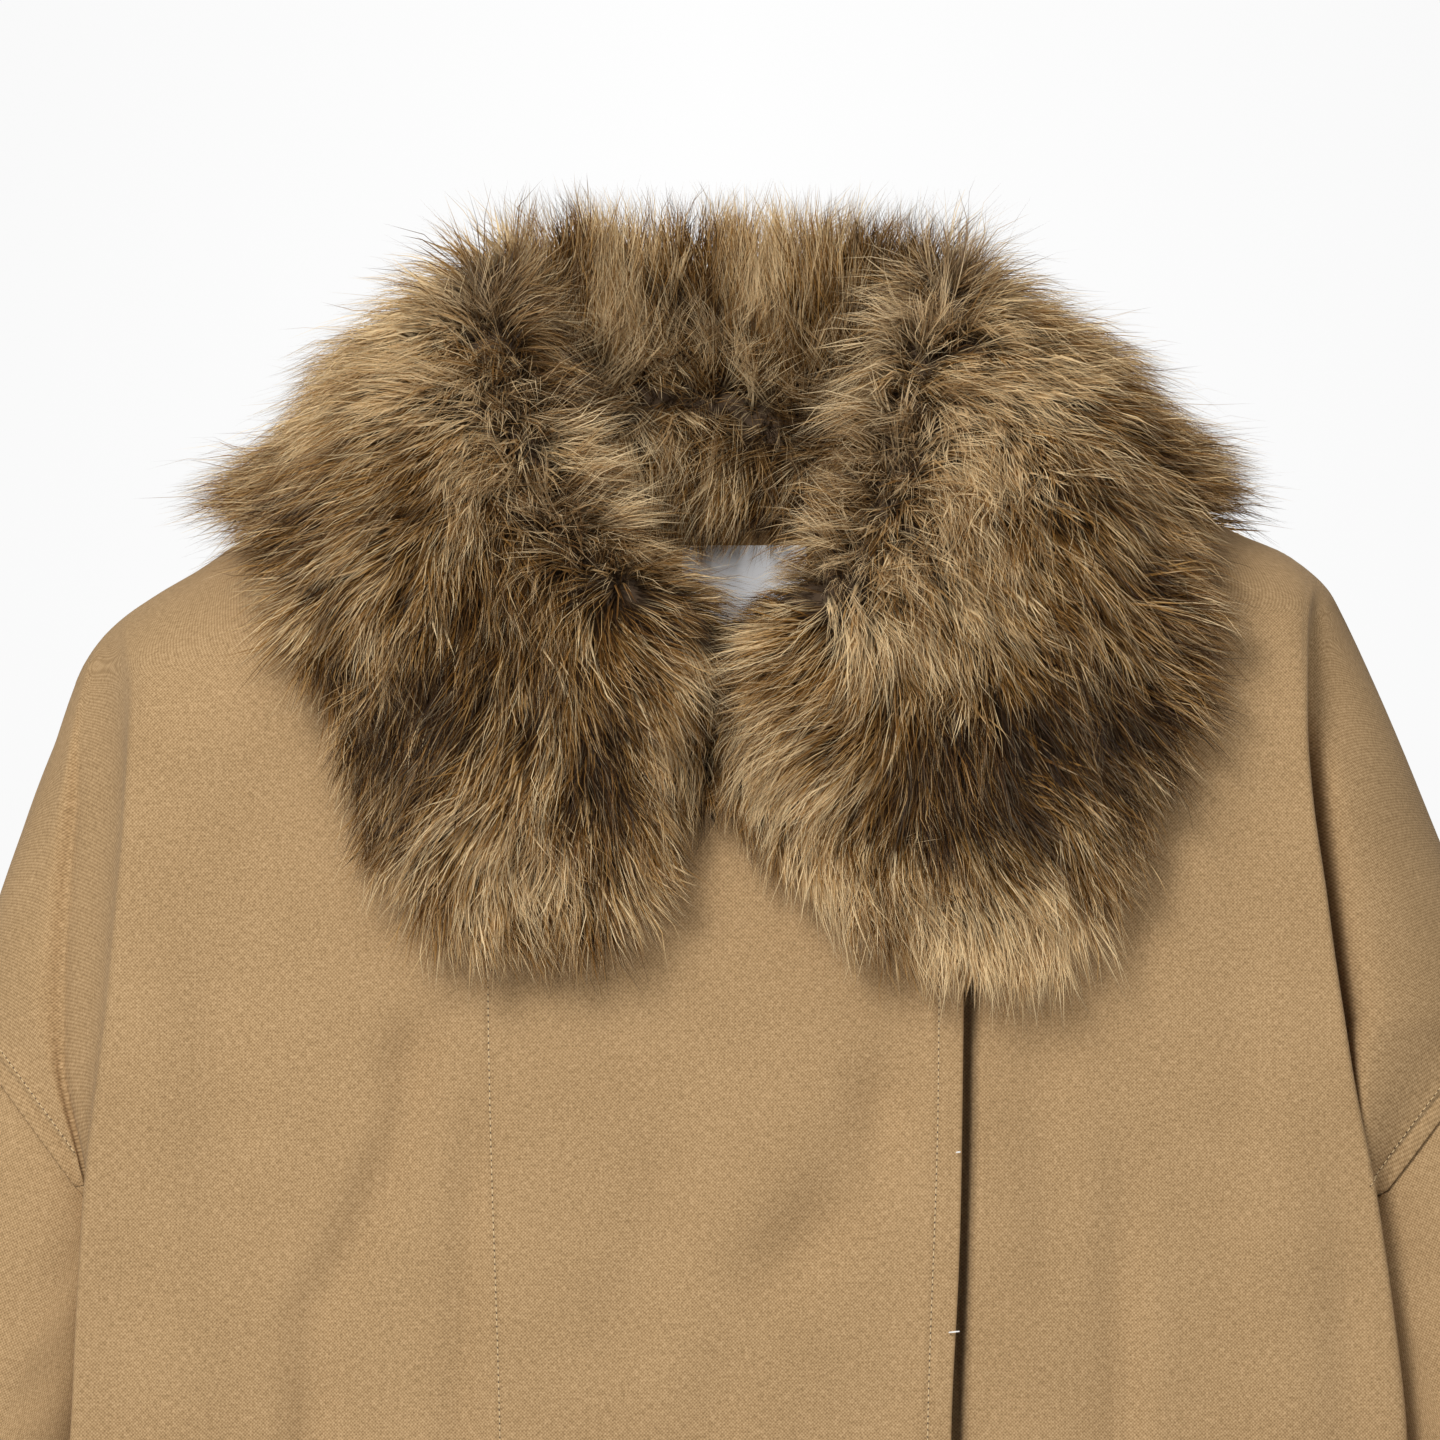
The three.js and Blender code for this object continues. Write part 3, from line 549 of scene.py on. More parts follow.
# %% [markdown]
# ## Creases the cloth has taken
# Hung cotton is never plain. Fine troughs run down from under the collar, a pucker or two
# pulls at the placket's stitching, and the wrap sags a little where its facing ends. They
# could be sculpted, but a table of lines is easier to place and to change: each is a soft
# trough with its own width and depth, and none is like its neighbour.

# %% Soft creases of front, back and sleeves
# x and drop at the upper end, bend at the middle, x and drop at the lower end, half width,
# share of the full depth (raised where negative).
FRONT_CREASES = [
    (-106, 212, 7, -151, 330, 7.5, 1.5), (-121, 218, 7, -166, 330, 9.0, -0.8),
    (-147, 292, 3, -161, 640, 7.0, 1.5), (-160, 300, 3, -176, 600, 10.0, -0.7),
    (-104, 214, -3, -137, 262, 5.5, 0.8), (-95, 208, -2, -118, 246, 5.0, 0.6),
    (-86, 224, -2, -94, 470, 6.5, 1.5), (-184, 180, 5, -190, 330, 17, 1.3),
    (-206, 240, -4, -216, 560, 13, 1.0), (-54, 206, 2, -28, 246, 5.5, 0.6),
    (-18, 250, 6, -44, 350, 14, 0.7), (58, 226, 7, 44, 304, 7.0, 0.8),
    (66, 222, 5, 16, 318, 12, 1.2), (50, 280, 3, 2, 318, 15, 1.3),
    (8, 318, -5, -8, 470, 12, 0.9), (28, 356, 4, 36, 560, 11, 1.2),
    (-52, 400, -4, -58, 590, 12, 1.3), (145, 228, 2, 147, 620, 6.5, 1.1),
    (157, 270, -2, 160, 560, 8.0, -0.7), (112, 210, 3, 120, 330, 11, 0.7),
    (190, 120, -3, 196, 300, 14, 0.8), (226, 275, 3, 236, 520, 8.0, 1.2),
    (104, 420, -3, 108, 600, 10, 1.3)]
BACK_CREASES = [
    (-150, 150, 6, -170, 620, 8.0, 1.7), (-112, 190, -5, -124, 430, 9.0, 1.1),
    (-66, 240, 4, -76, 610, 9.0, 1.5), (-14, 210, 3, -20, 420, 10, 0.8),
    (24, 330, -4, 18, 610, 9.5, 1.4), (74, 230, 5, 66, 500, 8.5, 1.3),
    (118, 170, -6, 132, 400, 9.0, 1.0), (160, 140, 4, 176, 620, 8.0, 1.8),
    (205, 210, -3, 214, 480, 9.0, 1.2), (-204, 190, 3, -214, 450, 9.0, 1.1)]
# Turn round the arm in degrees (0 outside, 90 front) and drop at one end, the same at the
# other end, half width, depth in mm.
SLEEVE_CREASES = [
    (128, 268, 60, 352, 7.0, 1.5), (118, 330, 48, 420, 8.0, 1.7),
    (140, 392, 66, 440, 8.5, 2.0), (92, 430, 30, 520, 9.0, 1.8),
    (150, 470, 84, 512, 8.0, 1.6), (110, 540, 40, 574, 7.0, 1.8),
    (-128, 280, -58, 362, 7.5, 1.7), (-142, 372, -60, 430, 8.5, 2.1),
    (-100, 452, -36, 540, 8.0, 1.6), (-146, 520, -80, 556, 7.5, 1.9)]


# %% How creases press the cloth
CREASE_DEPTH = 3.1                            # of a whole share, for front and back
CHEST_RELIEF, FINE_RELIEF, HEM_GATHER = 0.75, 0.16, 1.5
SEAM_PAD, SEAM_PAD_HALF = 0.7, 6.0            # the armhole seam's allowance
# Behind the ridge, for the right side and the left: how far the sleeve swells and over what
# width, and how deep the slit between ridge and sleeve is and its width.
SWELL_WIDE, SWELL_RIGHT = (13, 24), 2.0
SWELL_LEFT, SWELL_LOWER = 11, 7               # high up, and what is added lower down
SLIT_DEEP, SLIT_WIDE = (2.4, 9.0), (2.8, 2.6)


def crease(x, drop, c):
    """One soft line, sunk by its depth along a gently bent path."""
    x0, top, bend, x1, bottom, half, deep = c
    p, q = np.array([x0, top], float), np.array([x1, bottom], float)
    way = q - p
    size = np.linalg.norm(way)
    way /= size
    dx, dz = x - p[0], drop - p[1]
    along = (dx * way[0] + dz * way[1]) / size
    off = dx * way[1] - dz * way[0] - bend * 4 * along * (1 - along)
    fade = ease(along * 4 + 0.1) * (1 - ease((along - 0.72) / 0.33))
    fade = np.where((along > -0.1) & (along < 1.1), fade, 0)
    return deep * np.exp(-(off / half) ** 2) * fade


def behind_ridge(x, drop, zone, t):
    """The sleeve swells beside the trough, which is a sharp crease. On the left side it
    comes close up behind the ridge, so that only a slit is left between them."""
    by_side = lambda pair: np.where(x > 0, pair[1], pair[0])
    beside = np.where(zone == WALL_ZONE, (1 - t) * 38, t * 52)     # mm from the trough
    swell = np.exp(-(beside / by_side(SWELL_WIDE)) ** 2) * (zone == SLEEVE_ZONE)
    lower_left = SWELL_LEFT + SWELL_LOWER * ease((drop - 150) / 70)
    swell = swell * np.where(x > 0, lower_left, SWELL_RIGHT)
    slit = by_side(SLIT_DEEP) + swell
    slit = slit * np.exp(-(beside / by_side(SLIT_WIDE)) ** 2) * (zone >= WALL_ZONE)
    return (swell - slit) * ease((drop - 96) / 46) * (1 - ease((drop - 360) / 40))


# %% How a front or a back is pressed
def body_press(creases, seed):
    def press(points, facts):
        x, drop, zone = points[:, 0], -points[:, 2], facts["zone"]
        chest = (zone == CHEST_ZONE) * ease((CHEST_HALF - np.abs(x)) / 20)
        push = -CREASE_DEPTH * sum(crease(x, drop, c) for c in creases) * chest
        calm = ease((drop - 60) / 90)
        push = push + CHEST_RELIEF * waves(points * [1, 1, 0.45], seed, 64) * calm
        push = push + FINE_RELIEF * waves(points * [1, 1, 0.6], seed + 1, 24) * calm
        gather = ease((drop - 520) / 70)          # the hem band draws the cloth in
        push = push + HEM_GATHER * gather * waves(points * [1, 1, 0.16], seed + 2, 19)
        push = push + behind_ridge(x, drop, zone, facts["t"])
        # the armhole seam's allowance lies under the panel's edge
        pad = SEAM_PAD * np.exp(-(facts["seam_off"] / SEAM_PAD_HALF) ** 2)
        push = push + pad * (zone == SLEEVE_ZONE)
        push = np.where(np.abs(points[:, 1]) < 2.0, push * 0.15, push)
        held = 1 - ease((drop - 586) / 13)        # the hem seam holds both edges together
        return (push + facts.get("lift", 0)) * held
    return press


# %% [markdown]
# ## Fronts and back
# The right front is wider: its facing turns under at a folded edge, which stands a few
# millimetres proud of the front beneath and throws the long dark line down the jacket.
# The left front dips behind that edge. The dark line could be painted, but a real step and
# a real furrow stay true from every side and in any light.

# %% Facts that ride with the cloth: where its seams and stitch lines are
def panel_facts(panel):
    grid, side = panel["grid"], panel["side"]
    u, v = cloth_lengths(grid)
    x, drop = grid[:, :, 0] * side["sign"], -grid[:, :, 2]
    slant = math.cos(math.radians(40))            # the seam runs down at a slant
    reach = (side["at"]["seam"](drop) - x) * slant
    beside = ((panel["zone"] == SLEEVE_ZONE) & (drop > side["seam_top"])
              & (drop < side["seam_cross"] + 1) & (reach < 90))
    to_edge = np.minimum(np.linalg.norm(grid - grid[:, -1:, :], axis=2), FAR)
    return plain_facts(u, v, zone=panel["zone"], t=panel["t"],
                       seam_off=np.where(beside, to_edge, FAR))


# %% The right front, which wraps over
EDGE_STITCH = 8                               # from the folded edge to its stitch line
EDGE_LIFT, FACING_WIDE = 1.6, 34
PLACKET = smooth([(90, -84.5), (205, -84), (370, -79.5), (600, -76)])

right_panel = make_panel(RIGHT, FRONT, lambda d: -wrap_edge(d), lifted=True)
facts = panel_facts(right_panel)
x, drop = right_panel["grid"][:, :, 0], -right_panel["grid"][:, :, 2]
free_edge = wrap_edge(drop)
wander = 0.9 * np.sin(drop / 37.0) + 0.6 * np.sin(drop / 16.0 + 1.1)
lift = (EDGE_LIFT + 0.35 * wander) * ease((x - (free_edge - 26)) / 24) * ease((drop - 95) / 40)
facts["lift"] = np.where(right_panel["zone"] == CHEST_ZONE, lift, 0)
facts["wall"] = mix(COTTON, FACING, ease((x - (free_edge - FACING_WIDE)) / 5))
facts["line_off"], facts["line_two"] = x - (free_edge - EDGE_STITCH), x - PLACKET(drop)
right_panel["grid"][:, :, 0] += 0.35 * wander * ease((x - (free_edge - 30)) / 30)
front_right = make_sheet("cloth_front_right", right_panel["grid"], facts, turned=True,
                         press=body_press(FRONT_CREASES, 11), rim=0.5)

# %% The left front, which dips behind the wrap's edge
DIP = 14.0
left_panel = make_panel(LEFT, FRONT, lambda d: -under_edge(d))
facts = panel_facts(left_panel)
x, drop = left_panel["grid"][:, :, 0], -left_panel["grid"][:, :, 2]
past = x - wrap_edge(drop)
dip = DIP * (1 - ease((past - 1.6) / 5.6)) * ease((past + 60) / 45)
facts["lift"] = -dip * ease((drop - 100) / 60) * (1 - 0.6 * ease((drop - 560) / 40))
front_left = make_sheet("cloth_front_left", left_panel["grid"], facts,
                        press=body_press(FRONT_CREASES, 12))

# %% The back, one piece
right_back = make_panel(RIGHT, BACK, lambda d: 0.0 * d, pitch=6.5)
left_back = make_panel(LEFT, BACK, lambda d: 0.0 * d, pitch=6.5)
facts = {k: np.concatenate([v[:, ::-1], panel_facts(left_back)[k][:, 1:]], axis=1)
         for k, v in panel_facts(right_back).items()}
back_grid = np.concatenate([right_back["grid"][:, ::-1], left_back["grid"][:, 1:]], axis=1)
facts["u"], facts["v"] = cloth_lengths(back_grid)
back = make_sheet("cloth_back", back_grid, facts, turned=True,
                  press=body_press(BACK_CREASES, 13))


# %% [markdown]
# ## Sleeves, cuffs and hem band
# A dropped shoulder leaves a short wide sleeve, sewn on below the edge of the panels and
# gathered into a cuff. The hem band is one strip folded along its lower edge. Each could be
# a bent cylinder, but then its end would miss the seam: here every tube starts from the
# very points of the piece above it.

# %% The sleeve's tube, from the armhole seam to the cuff seam
SLEEVE_ROWS, STRIP_ROWS = 46, 12              # of a sleeve, and of the hem band


def armhole(side, pitch=5.0):
    """The armhole seam as a closed loop of face, turn round the arm and drop."""
    drops = fine_drops(side, pitch)
    drops = np.append(drops[drops < UNDERARM], UNDERARM)

    def turns(trough):
        x = np.where(drops < side["seam_cross"], side["at"]["seam"](drops),
                     side["at"][trough](drops))
        half, middle, _ = sleeve_oval(side, drops)
        turn = np.arccos(np.clip((x - middle) / half, -1, 1))
        return np.where(drops <= side["seam_top"], 0,
                        np.where(drops >= UNDERARM, np.pi, turn))

    front, rear = turns("trough"), turns("back_trough")
    face = np.concatenate([np.full(len(drops), -1.0), np.full(len(drops) - 2, 1.0)])
    turn = np.concatenate([front, rear[1:-1][::-1]])
    return face, turn, np.concatenate([drops, drops[1:-1][::-1]])


def sleeve_grid(side):
    face, turn, drop = armhole(side)
    half_end, _, _ = sleeve_oval(side, float(HEM_SEAM))
    end = HEM_SEAM - half_end * np.cos(turn) * math.tan(CUFF_LEAN)
    grid = []
    for t in np.linspace(0, 1, SLEEVE_ROWS):
        at = mix(drop + 0.5, end, t)
        half, middle, deep = sleeve_oval(side, at)
        grid.append(np.stack([side["sign"] * (middle + half * np.cos(turn)),
                              face * deep * np.sin(turn), -at], axis=1))
    return np.stack(grid), face * turn


# %% Sleeves
SLEEVE_BEND, SLEEVE_RELIEF, SLEEVE_FINE = 4, 0.5, 0.15
CUFF_GATHER, ARMHOLE_TUCK = 1.7, 0.5


def sleeve_press(side, seed):
    def press(points, facts):
        down, drop, degrees = facts["down"], -points[:, 2], np.degrees(-facts["turn"])
        push = np.zeros(len(points))
        for turn0, top, turn1, bottom, half, deep in SLEEVE_CREASES:
            shift = 6 * math.sin(top * side["sign"])            # the two arms differ
            push -= crease(degrees, drop, (turn0 + shift, top + shift, SLEEVE_BEND, turn1,
                                           bottom - shift, half, deep))
        push += SLEEVE_RELIEF * waves(points, seed, 60)
        push += SLEEVE_FINE * waves(points, seed + 1, 21)
        gather = ease((down - 0.84) / 0.15)
        push += CUFF_GATHER * gather * waves(points * [1, 1, 0.2], seed + 2, 17)
        push *= 1 - ease((down - 0.965) / 0.035)          # the cuff seam holds it still
        return push * ease(down * 14) - ARMHOLE_TUCK * (1 - ease(down * 22))
    return press


arms = {}
for name, side, seed in (("right", RIGHT, 21), ("left", LEFT, 31)):
    grid, turn = sleeve_grid(side)
    u, v = cloth_lengths(grid)
    u = np.broadcast_to(u[len(u) // 2], u.shape)
    down = np.broadcast_to(np.linspace(0, 1, len(grid))[:, None], u.shape)
    facts = plain_facts(u, v, turn=np.broadcast_to(turn, u.shape), down=down)
    sleeve = make_sheet(f"cloth_sleeve_{name}", grid, facts, turned=side is LEFT, tube=True,
                        press=sleeve_press(side, seed))
    arms[name] = (sleeve, grid)


# %% Cuffs
def cuff_grid(side, grid):
    half, middle, _ = sleeve_oval(side, float(HEM_SEAM))
    middle = side["sign"] * middle
    rows = []
    for along in np.linspace(SEAM_GAP, CUFF_LENGTH, 13):
        size = 1 - 0.02 * along / CUFF_LENGTH
        rows.append(np.stack([
            middle + (grid[-1][:, 0] - middle) * size + side["sign"] * along * math.sin(CUFF_LEAN),
            grid[-1][:, 1] * size,
            -HEM_SEAM + (grid[-1][:, 2] + HEM_SEAM) * size - along * math.cos(CUFF_LEAN)], axis=1))
    return np.stack(rows)


def band_press(seed):
    """A folded strip: a little full in the middle, uneven where it is sewn on."""
    def press(points, facts):
        uneven = 0.55 * waves(points * [1, 1, 0.35], seed, 24) * (1 - 0.6 * facts["down"])
        full = 0.5 * np.sin(np.pi * facts["down"])
        return (uneven + full - 0.4) * ease(facts["down"] * 6)
    return press


for name, side, seed in (("right", RIGHT, 41), ("left", LEFT, 43)):
    sleeve, grid = arms[name]
    grid = cuff_grid(side, grid)
    u, v = cloth_lengths(grid)
    down = np.broadcast_to(np.linspace(0, 1, len(grid))[:, None], u.shape)
    cuff = make_sheet(f"cloth_cuff_{name}", grid, plain_facts(v + 7, u, down=down), wall=CUFF,
                      turned=side is LEFT, tube=True, press=band_press(seed))
    arms[name] = (sleeve, cuff)

# %% Hem band
lower = np.concatenate([right_panel["grid"][-1], back_grid[-1],
                        left_panel["grid"][-1][::-1]])
apart = np.linalg.norm(np.diff(lower, axis=0), axis=1)
lower = lower[np.concatenate([[True], apart > 0.35])]
lower[:, 1] = np.where(np.abs(lower[:, 1]) < SEAM_GAP, 0, lower[:, 1])
band_grid = np.stack([lower * [1, 1, 0] + [0, 0, -d]
                      for d in np.linspace(HEM_SEAM + SEAM_GAP, HEM, STRIP_ROWS)])
u, v = cloth_lengths(band_grid)
down = np.broadcast_to(np.linspace(0, 1, STRIP_ROWS)[:, None], u.shape)
hem_band = make_sheet("cloth_hem_band", band_grid, plain_facts(v + 3, u, down=down), wall=BAND,
                      turned=True, press=band_press(47))

# %% [markdown]
# A bare woven label is sewn in at the back of the neck. It is a small stiff sheet that bows
# a little, so it is made as the cloth is, only thinner and finer.

# %% Woven label inside the back neck
along, down = np.meshgrid(np.linspace(0, 1, 15), np.linspace(0, 1, 10))
x = LABEL["middle"] + LABEL["width"] * (along - 0.5)
drop = LABEL["top"] + LABEL["height"] * down
y = body_depth(BACK, x, drop) - LABEL["clear"]
y = y + 0.9 * (2 * along - 1) ** 2 - 0.8 * np.sin(np.pi * down)       # its ends curl back
label = make_sheet("woven_label", np.stack([x, y, -drop], axis=-1),
                   dict(u=x, v=-drop, down=down), wall=SATIN)

# %% [markdown]
# ## Finishes
# The cotton is a matt, close plain weave of slightly uneven yarns. A picture of cloth could
# be wrapped round it, but would show its repeat. Instead warp and weft are worked from the
# cloth's own lengths, so the yarns follow every fold, and their unevenness is noise
# stretched along each of them. Stitch lines draw the cloth in along their length.

# %% Small helpers for node trees
def add(tree, kind, inputs=None, **settings):
    """A node with its settings and its inputs, which are values or other sockets."""
    node = tree.nodes.new(kind)
    for key, value in settings.items():
        setattr(node, key, value)
    for key, value in (inputs or {}).items():
        socket = node.inputs[key]
        if isinstance(value, bpy.types.NodeSocket):
            tree.links.new(value, socket)
        else:
            socket.default_value = value
    return node


def sums(tree, operation, a, b=None, c=None):
    node = add(tree, "ShaderNodeMath", operation=operation)
    for i, value in enumerate((a, b, c)):
        if isinstance(value, bpy.types.NodeSocket):
            tree.links.new(value, node.inputs[i])
        elif value is not None:
            node.inputs[i].default_value = value
    return node.outputs[0]


def stops(node, *marks):
    """Sets a colour ramp's stops: place and colour."""
    ramp = node.color_ramp
    while len(ramp.elements) < len(marks):
        ramp.elements.new(0.5)
    for element, (place, colour) in zip(ramp.elements, marks):
        element.position = place
        element.color = (*colour, 1.0)
    return node


def new_material(name):
    made = bpy.data.materials.new(name)
    made.use_nodes = True
    made.node_tree.nodes.clear()
    return made, made.node_tree


def finish(tree, shader):
    add(tree, "ShaderNodeOutputMaterial", {"Surface": shader.outputs[0]})


def flat_finish(name, colour, roughness):
    made, tree = new_material(name)
    finish(tree, add(tree, "ShaderNodeBsdfPrincipled", {"Base Color": (*colour, 1.0),
                                                        "Roughness": roughness}))
    return made


# %% Colours and sizes of the weave
CLOTH_DARK, CLOTH_MID = (0.234, 0.145, 0.066), (0.369, 0.236, 0.114)
CLOTH_LIGHT = (0.525, 0.352, 0.187)
WARP_PACE, WEFT_PACE = (1350, 420, 1), (400, 1250, 1)         # of the yarns' unevenness
WARP_PITCH, WEFT_PITCH = 0.00128, 0.00134                     # metres, as the next two
FURROW_DEEP, YARN_DEEP = 0.0009, 0.00022
FURROW_HALF, SEAM_FURROW_HALF = 1.3, 1.4
STITCH_PITCH = 2.5
SEAM_STITCH = 7.0                             # from a seam to the stitch line beside it


# %% Cotton
def cotton(name):
    made, tree = new_material(name)
    uv = add(tree, "ShaderNodeUVMap", uv_map="cloth").outputs[0]
    split = add(tree, "ShaderNodeSeparateXYZ", {0: uv})
    u, v = split.outputs[0], split.outputs[1]

    def wave(length, pitch):
        return sums(tree, "SINE", sums(tree, "MULTIPLY", length, 2 * math.pi / pitch))

    def yarns(pace):
        stretched = add(tree, "ShaderNodeVectorMath", {0: uv, 1: pace}, operation="MULTIPLY")
        return add(tree, "ShaderNodeTexNoise", {"Vector": stretched.outputs[0], "Scale": 1.0,
                                                "Detail": 1.0, "Roughness": 0.6}).outputs[0]

    both = sums(tree, "ADD", yarns(WARP_PACE), yarns(WEFT_PACE))
    broad = add(tree, "ShaderNodeTexNoise",
                {"Vector": uv, "Scale": 24.0, "Detail": 3.0}).outputs[0]
    over = sums(tree, "MULTIPLY", wave(u, WARP_PITCH), wave(v, WEFT_PITCH))
    yarn = sums(tree, "MULTIPLY_ADD", both, 0.5, sums(tree, "MULTIPLY", over, 0.20))
    shade = sums(tree, "MULTIPLY_ADD", broad, 0.14, sums(tree, "MULTIPLY", yarn, 0.86))
    colour = stops(add(tree, "ShaderNodeValToRGB", {0: shade}),
                   (0.26, CLOTH_DARK), (0.50, CLOTH_MID), (0.74, CLOTH_LIGHT))
    # the stitch lines' furrow, beaded at each stitch
    line = add(tree, "ShaderNodeAttribute", attribute_name="line_off").outputs["Fac"]
    second = add(tree, "ShaderNodeAttribute", attribute_name="line_two").outputs["Fac"]
    seam = add(tree, "ShaderNodeAttribute", attribute_name="seam_off").outputs["Fac"]

    def furrow(off, half=FURROW_HALF):
        share = sums(tree, "DIVIDE", off, half)
        square = sums(tree, "MULTIPLY", share, share)
        return sums(tree, "EXPONENT", sums(tree, "MULTIPLY", square, -1.0))

    bead = sums(tree, "MULTIPLY_ADD", wave(v, STITCH_PITCH * MM), 0.25, 0.75)
    draw = sums(tree, "MULTIPLY", sums(tree, "ADD", furrow(line), furrow(second)), bead)
    draw = sums(tree, "ADD", draw,
                furrow(sums(tree, "SUBTRACT", seam, SEAM_STITCH), SEAM_FURROW_HALF))
    height = sums(tree, "MULTIPLY_ADD", draw, -FURROW_DEEP,
                  sums(tree, "MULTIPLY", yarn, YARN_DEEP))
    bump = add(tree, "ShaderNodeBump", {"Height": height, "Distance": 1.0, "Strength": 0.8})
    shader = add(tree, "ShaderNodeBsdfPrincipled", {
        "Base Color": colour.outputs[0], "Roughness": 0.92, "Normal": bump.outputs[0],
        "Specular IOR Level": 0.12, "Sheen Weight": 0.05, "Sheen Roughness": 0.45,
        "Sheen Tint": (1.0, 0.93, 0.82, 1.0)})
    finish(tree, shader)
    return made


plain_cotton = cotton("plain_cotton")

# %% Satin of the label, with fine ribs across it
satin_white, tree = new_material("label_satin")
uv = add(tree, "ShaderNodeUVMap", uv_map="cloth").outputs[0]
ribs = add(tree, "ShaderNodeVectorMath", {0: uv, 1: (400, 3000, 1)}, operation="MULTIPLY")
grain = add(tree, "ShaderNodeTexNoise", {"Vector": ribs.outputs[0], "Scale": 1.0}).outputs[0]
bump = add(tree, "ShaderNodeBump", {"Height": grain, "Distance": 0.00012, "Strength": 0.6})
shader = add(tree, "ShaderNodeBsdfPrincipled", {
    "Base Color": (0.86, 0.86, 0.87, 1.0), "Roughness": 0.42, "Sheen Weight": 0.2,
    "Normal": bump.outputs[0]})
finish(tree, shader)

# %% Each piece gets its finish
cloth_pieces = {"front_right": front_right, "front_left": front_left, "back": back,
                "sleeve_right": arms["right"][0], "sleeve_left": arms["left"][0],
                "cuff_right": arms["right"][1], "cuff_left": arms["left"][1],
                "hem_band": hem_band}
for piece in cloth_pieces.values():
    piece.data.materials.append(plain_cotton)
label.data.materials.append(satin_white)

# %% [markdown]
# ## Fur collar: the pelt
# The collar is a stuffed-looking roll that stands up round the neck, turns over and lies on
# shoulders and chest as two rounded leaves. Under the hair is a knitted backing over soft
# padding. This is that backing: the CAD collar gives the reach of the fur, and the pelt
# lies a hair's rise inside it. It is lofted through sections round the neck, because the
# hair has to know at each place which way leads to the leaf's edge.

# %% Sizes of the collar
# Degrees round the neck from the middle front, the roll's x, y and drop, the edge's x and
# drop.
COLLAR_RIGHT = [
    (0, 5, -86, 64, 6, 160), (12, 15, -91, 60, 30, 175), (25, 32, -92, 51, 60, 200),
    (38, 47, -88, 41, 88, 203), (50, 57, -80, 27, 112, 188), (62, 64, -66, 6, 132, 160),
    (73, 70, -48, -20, 146, 126), (82, 76, -27, -46, 162, 86), (90, 82, -2, -62, 183, 42),
    (112, 80, 28, -70, 176, 78), (135, 62, 48, -74, 138, 106), (158, 32, 60, -76, 74, 118),
    (180, 0, 64, -76, 0, 122)]
COLLAR_LEFT = [
    (0, 4, -86, 68, 4, 163), (12, 15, -91, 63, 36, 180), (25, 30, -92, 54, 70, 200),
    (38, 42, -88, 43, 104, 208), (50, 50, -80, 27, 134, 196), (62, 57, -66, 5, 155, 170),
    (73, 62, -48, -21, 167, 138), (82, 68, -27, -47, 182, 92), (90, 75, -2, -64, 190, 42),
    (112, 74, 28, -71, 180, 78), (135, 58, 48, -74, 140, 106), (158, 31, 60, -76, 76, 118),
    (180, 0, 64, -76, 0, 122)]
# Degrees round the neck, the pelt's height over the cloth near the roll, in the middle and
# at the edge.
PELT_HEIGHT = [(0, 14, 12, 5), (12, 24, 19, 6), (30, 27, 21, 7), (60, 29, 21, 8),
               (90, 38, 22, 7), (120, 33, 20, 7), (180, 32, 19, 7)]
# Degrees round the neck, the roll's way in from the fur's reach, the pelt's bulge into the
# neck opening high up and low down. The right leaf reaches further over the opening.
ROLL_RIGHT = [(0, 3, 8, 4), (15, 5, 22, 14), (35, 7, 33, 22), (55, 8, 30, 18), (80, 8, 15, 7),
              (100, 6, 5, 2), (180, 5, 4, 1.5)]
ROLL_LEFT = [(0, 3, 8, 4), (15, 5, 18, 12), (35, 7, 24, 15), (55, 8, 23, 13), (80, 8, 14, 7),
             (100, 6, 5, 2), (180, 5, 4, 1.5)]
EDGE_IN, FOOT_RISE, UNDER_GAP = 22.0, 1.0, 2.2
STATION_PITCH, SIDE_POINTS, EVENING = 6.0, 34, 5


# %% Places on the body, by distance over the cloth
QUARTER = SHOULDER_ROLL * math.pi / 2         # the shoulder's turn, measured over the cloth


def round_of(x, drop):
    """Distance over the cloth from the shoulder line down to a drop."""
    below = np.maximum(0, drop - shoulder_drop(x))
    bent = SHOULDER_ROLL * np.arccos(1 - np.minimum(below, SHOULDER_ROLL) / SHOULDER_ROLL)
    return np.where(below >= SHOULDER_ROLL, QUARTER + below - SHOULDER_ROLL, bent)


def on_body(x, around):
    """The cloth's point at a distance over the shoulder line, behind it if negative."""
    far = np.abs(around)
    below = np.where(far < QUARTER, SHOULDER_ROLL * (1 - np.cos(far / SHOULDER_ROLL)),
                     SHOULDER_ROLL + far - QUARTER)
    drop = shoulder_drop(x) + below
    front = -(body_depth(FRONT, x, drop) + ply_lift(np.abs(x), drop))
    return np.stack([x, np.where(around >= 0, front, body_depth(BACK, x, drop)), -drop], axis=-1)


def unit(v):
    return v / np.maximum(np.linalg.norm(v, axis=-1, keepdims=True), 1e-9)


def off_body(x, around, height):
    """A point at a height over the cloth, and the cloth's normal there."""
    across = on_body(x + 2, around) - on_body(x - 2, around)
    down = on_body(x, around + 2) - on_body(x, around - 2)
    normal = unit(np.cross(down, across))
    return on_body(x, around) + normal * np.asarray(height)[..., None], normal


# %% Stations round the neck, evenly spaced for the edge and the roll together
def stations_of(edge, edge_x):
    fine = np.linspace(0, 180, 721)
    run = np.concatenate([[0], np.cumsum(np.hypot(np.diff(edge(fine)), np.diff(edge_x(fine))))])
    roll_run = np.concatenate([[0], np.cumsum(np.full(720, 0.42))])      # mm in each step
    spacing = run + roll_run
    count = round(spacing[-1] / STATION_PITCH)
    return np.interp(np.linspace(0, spacing[-1], count), spacing, fine)


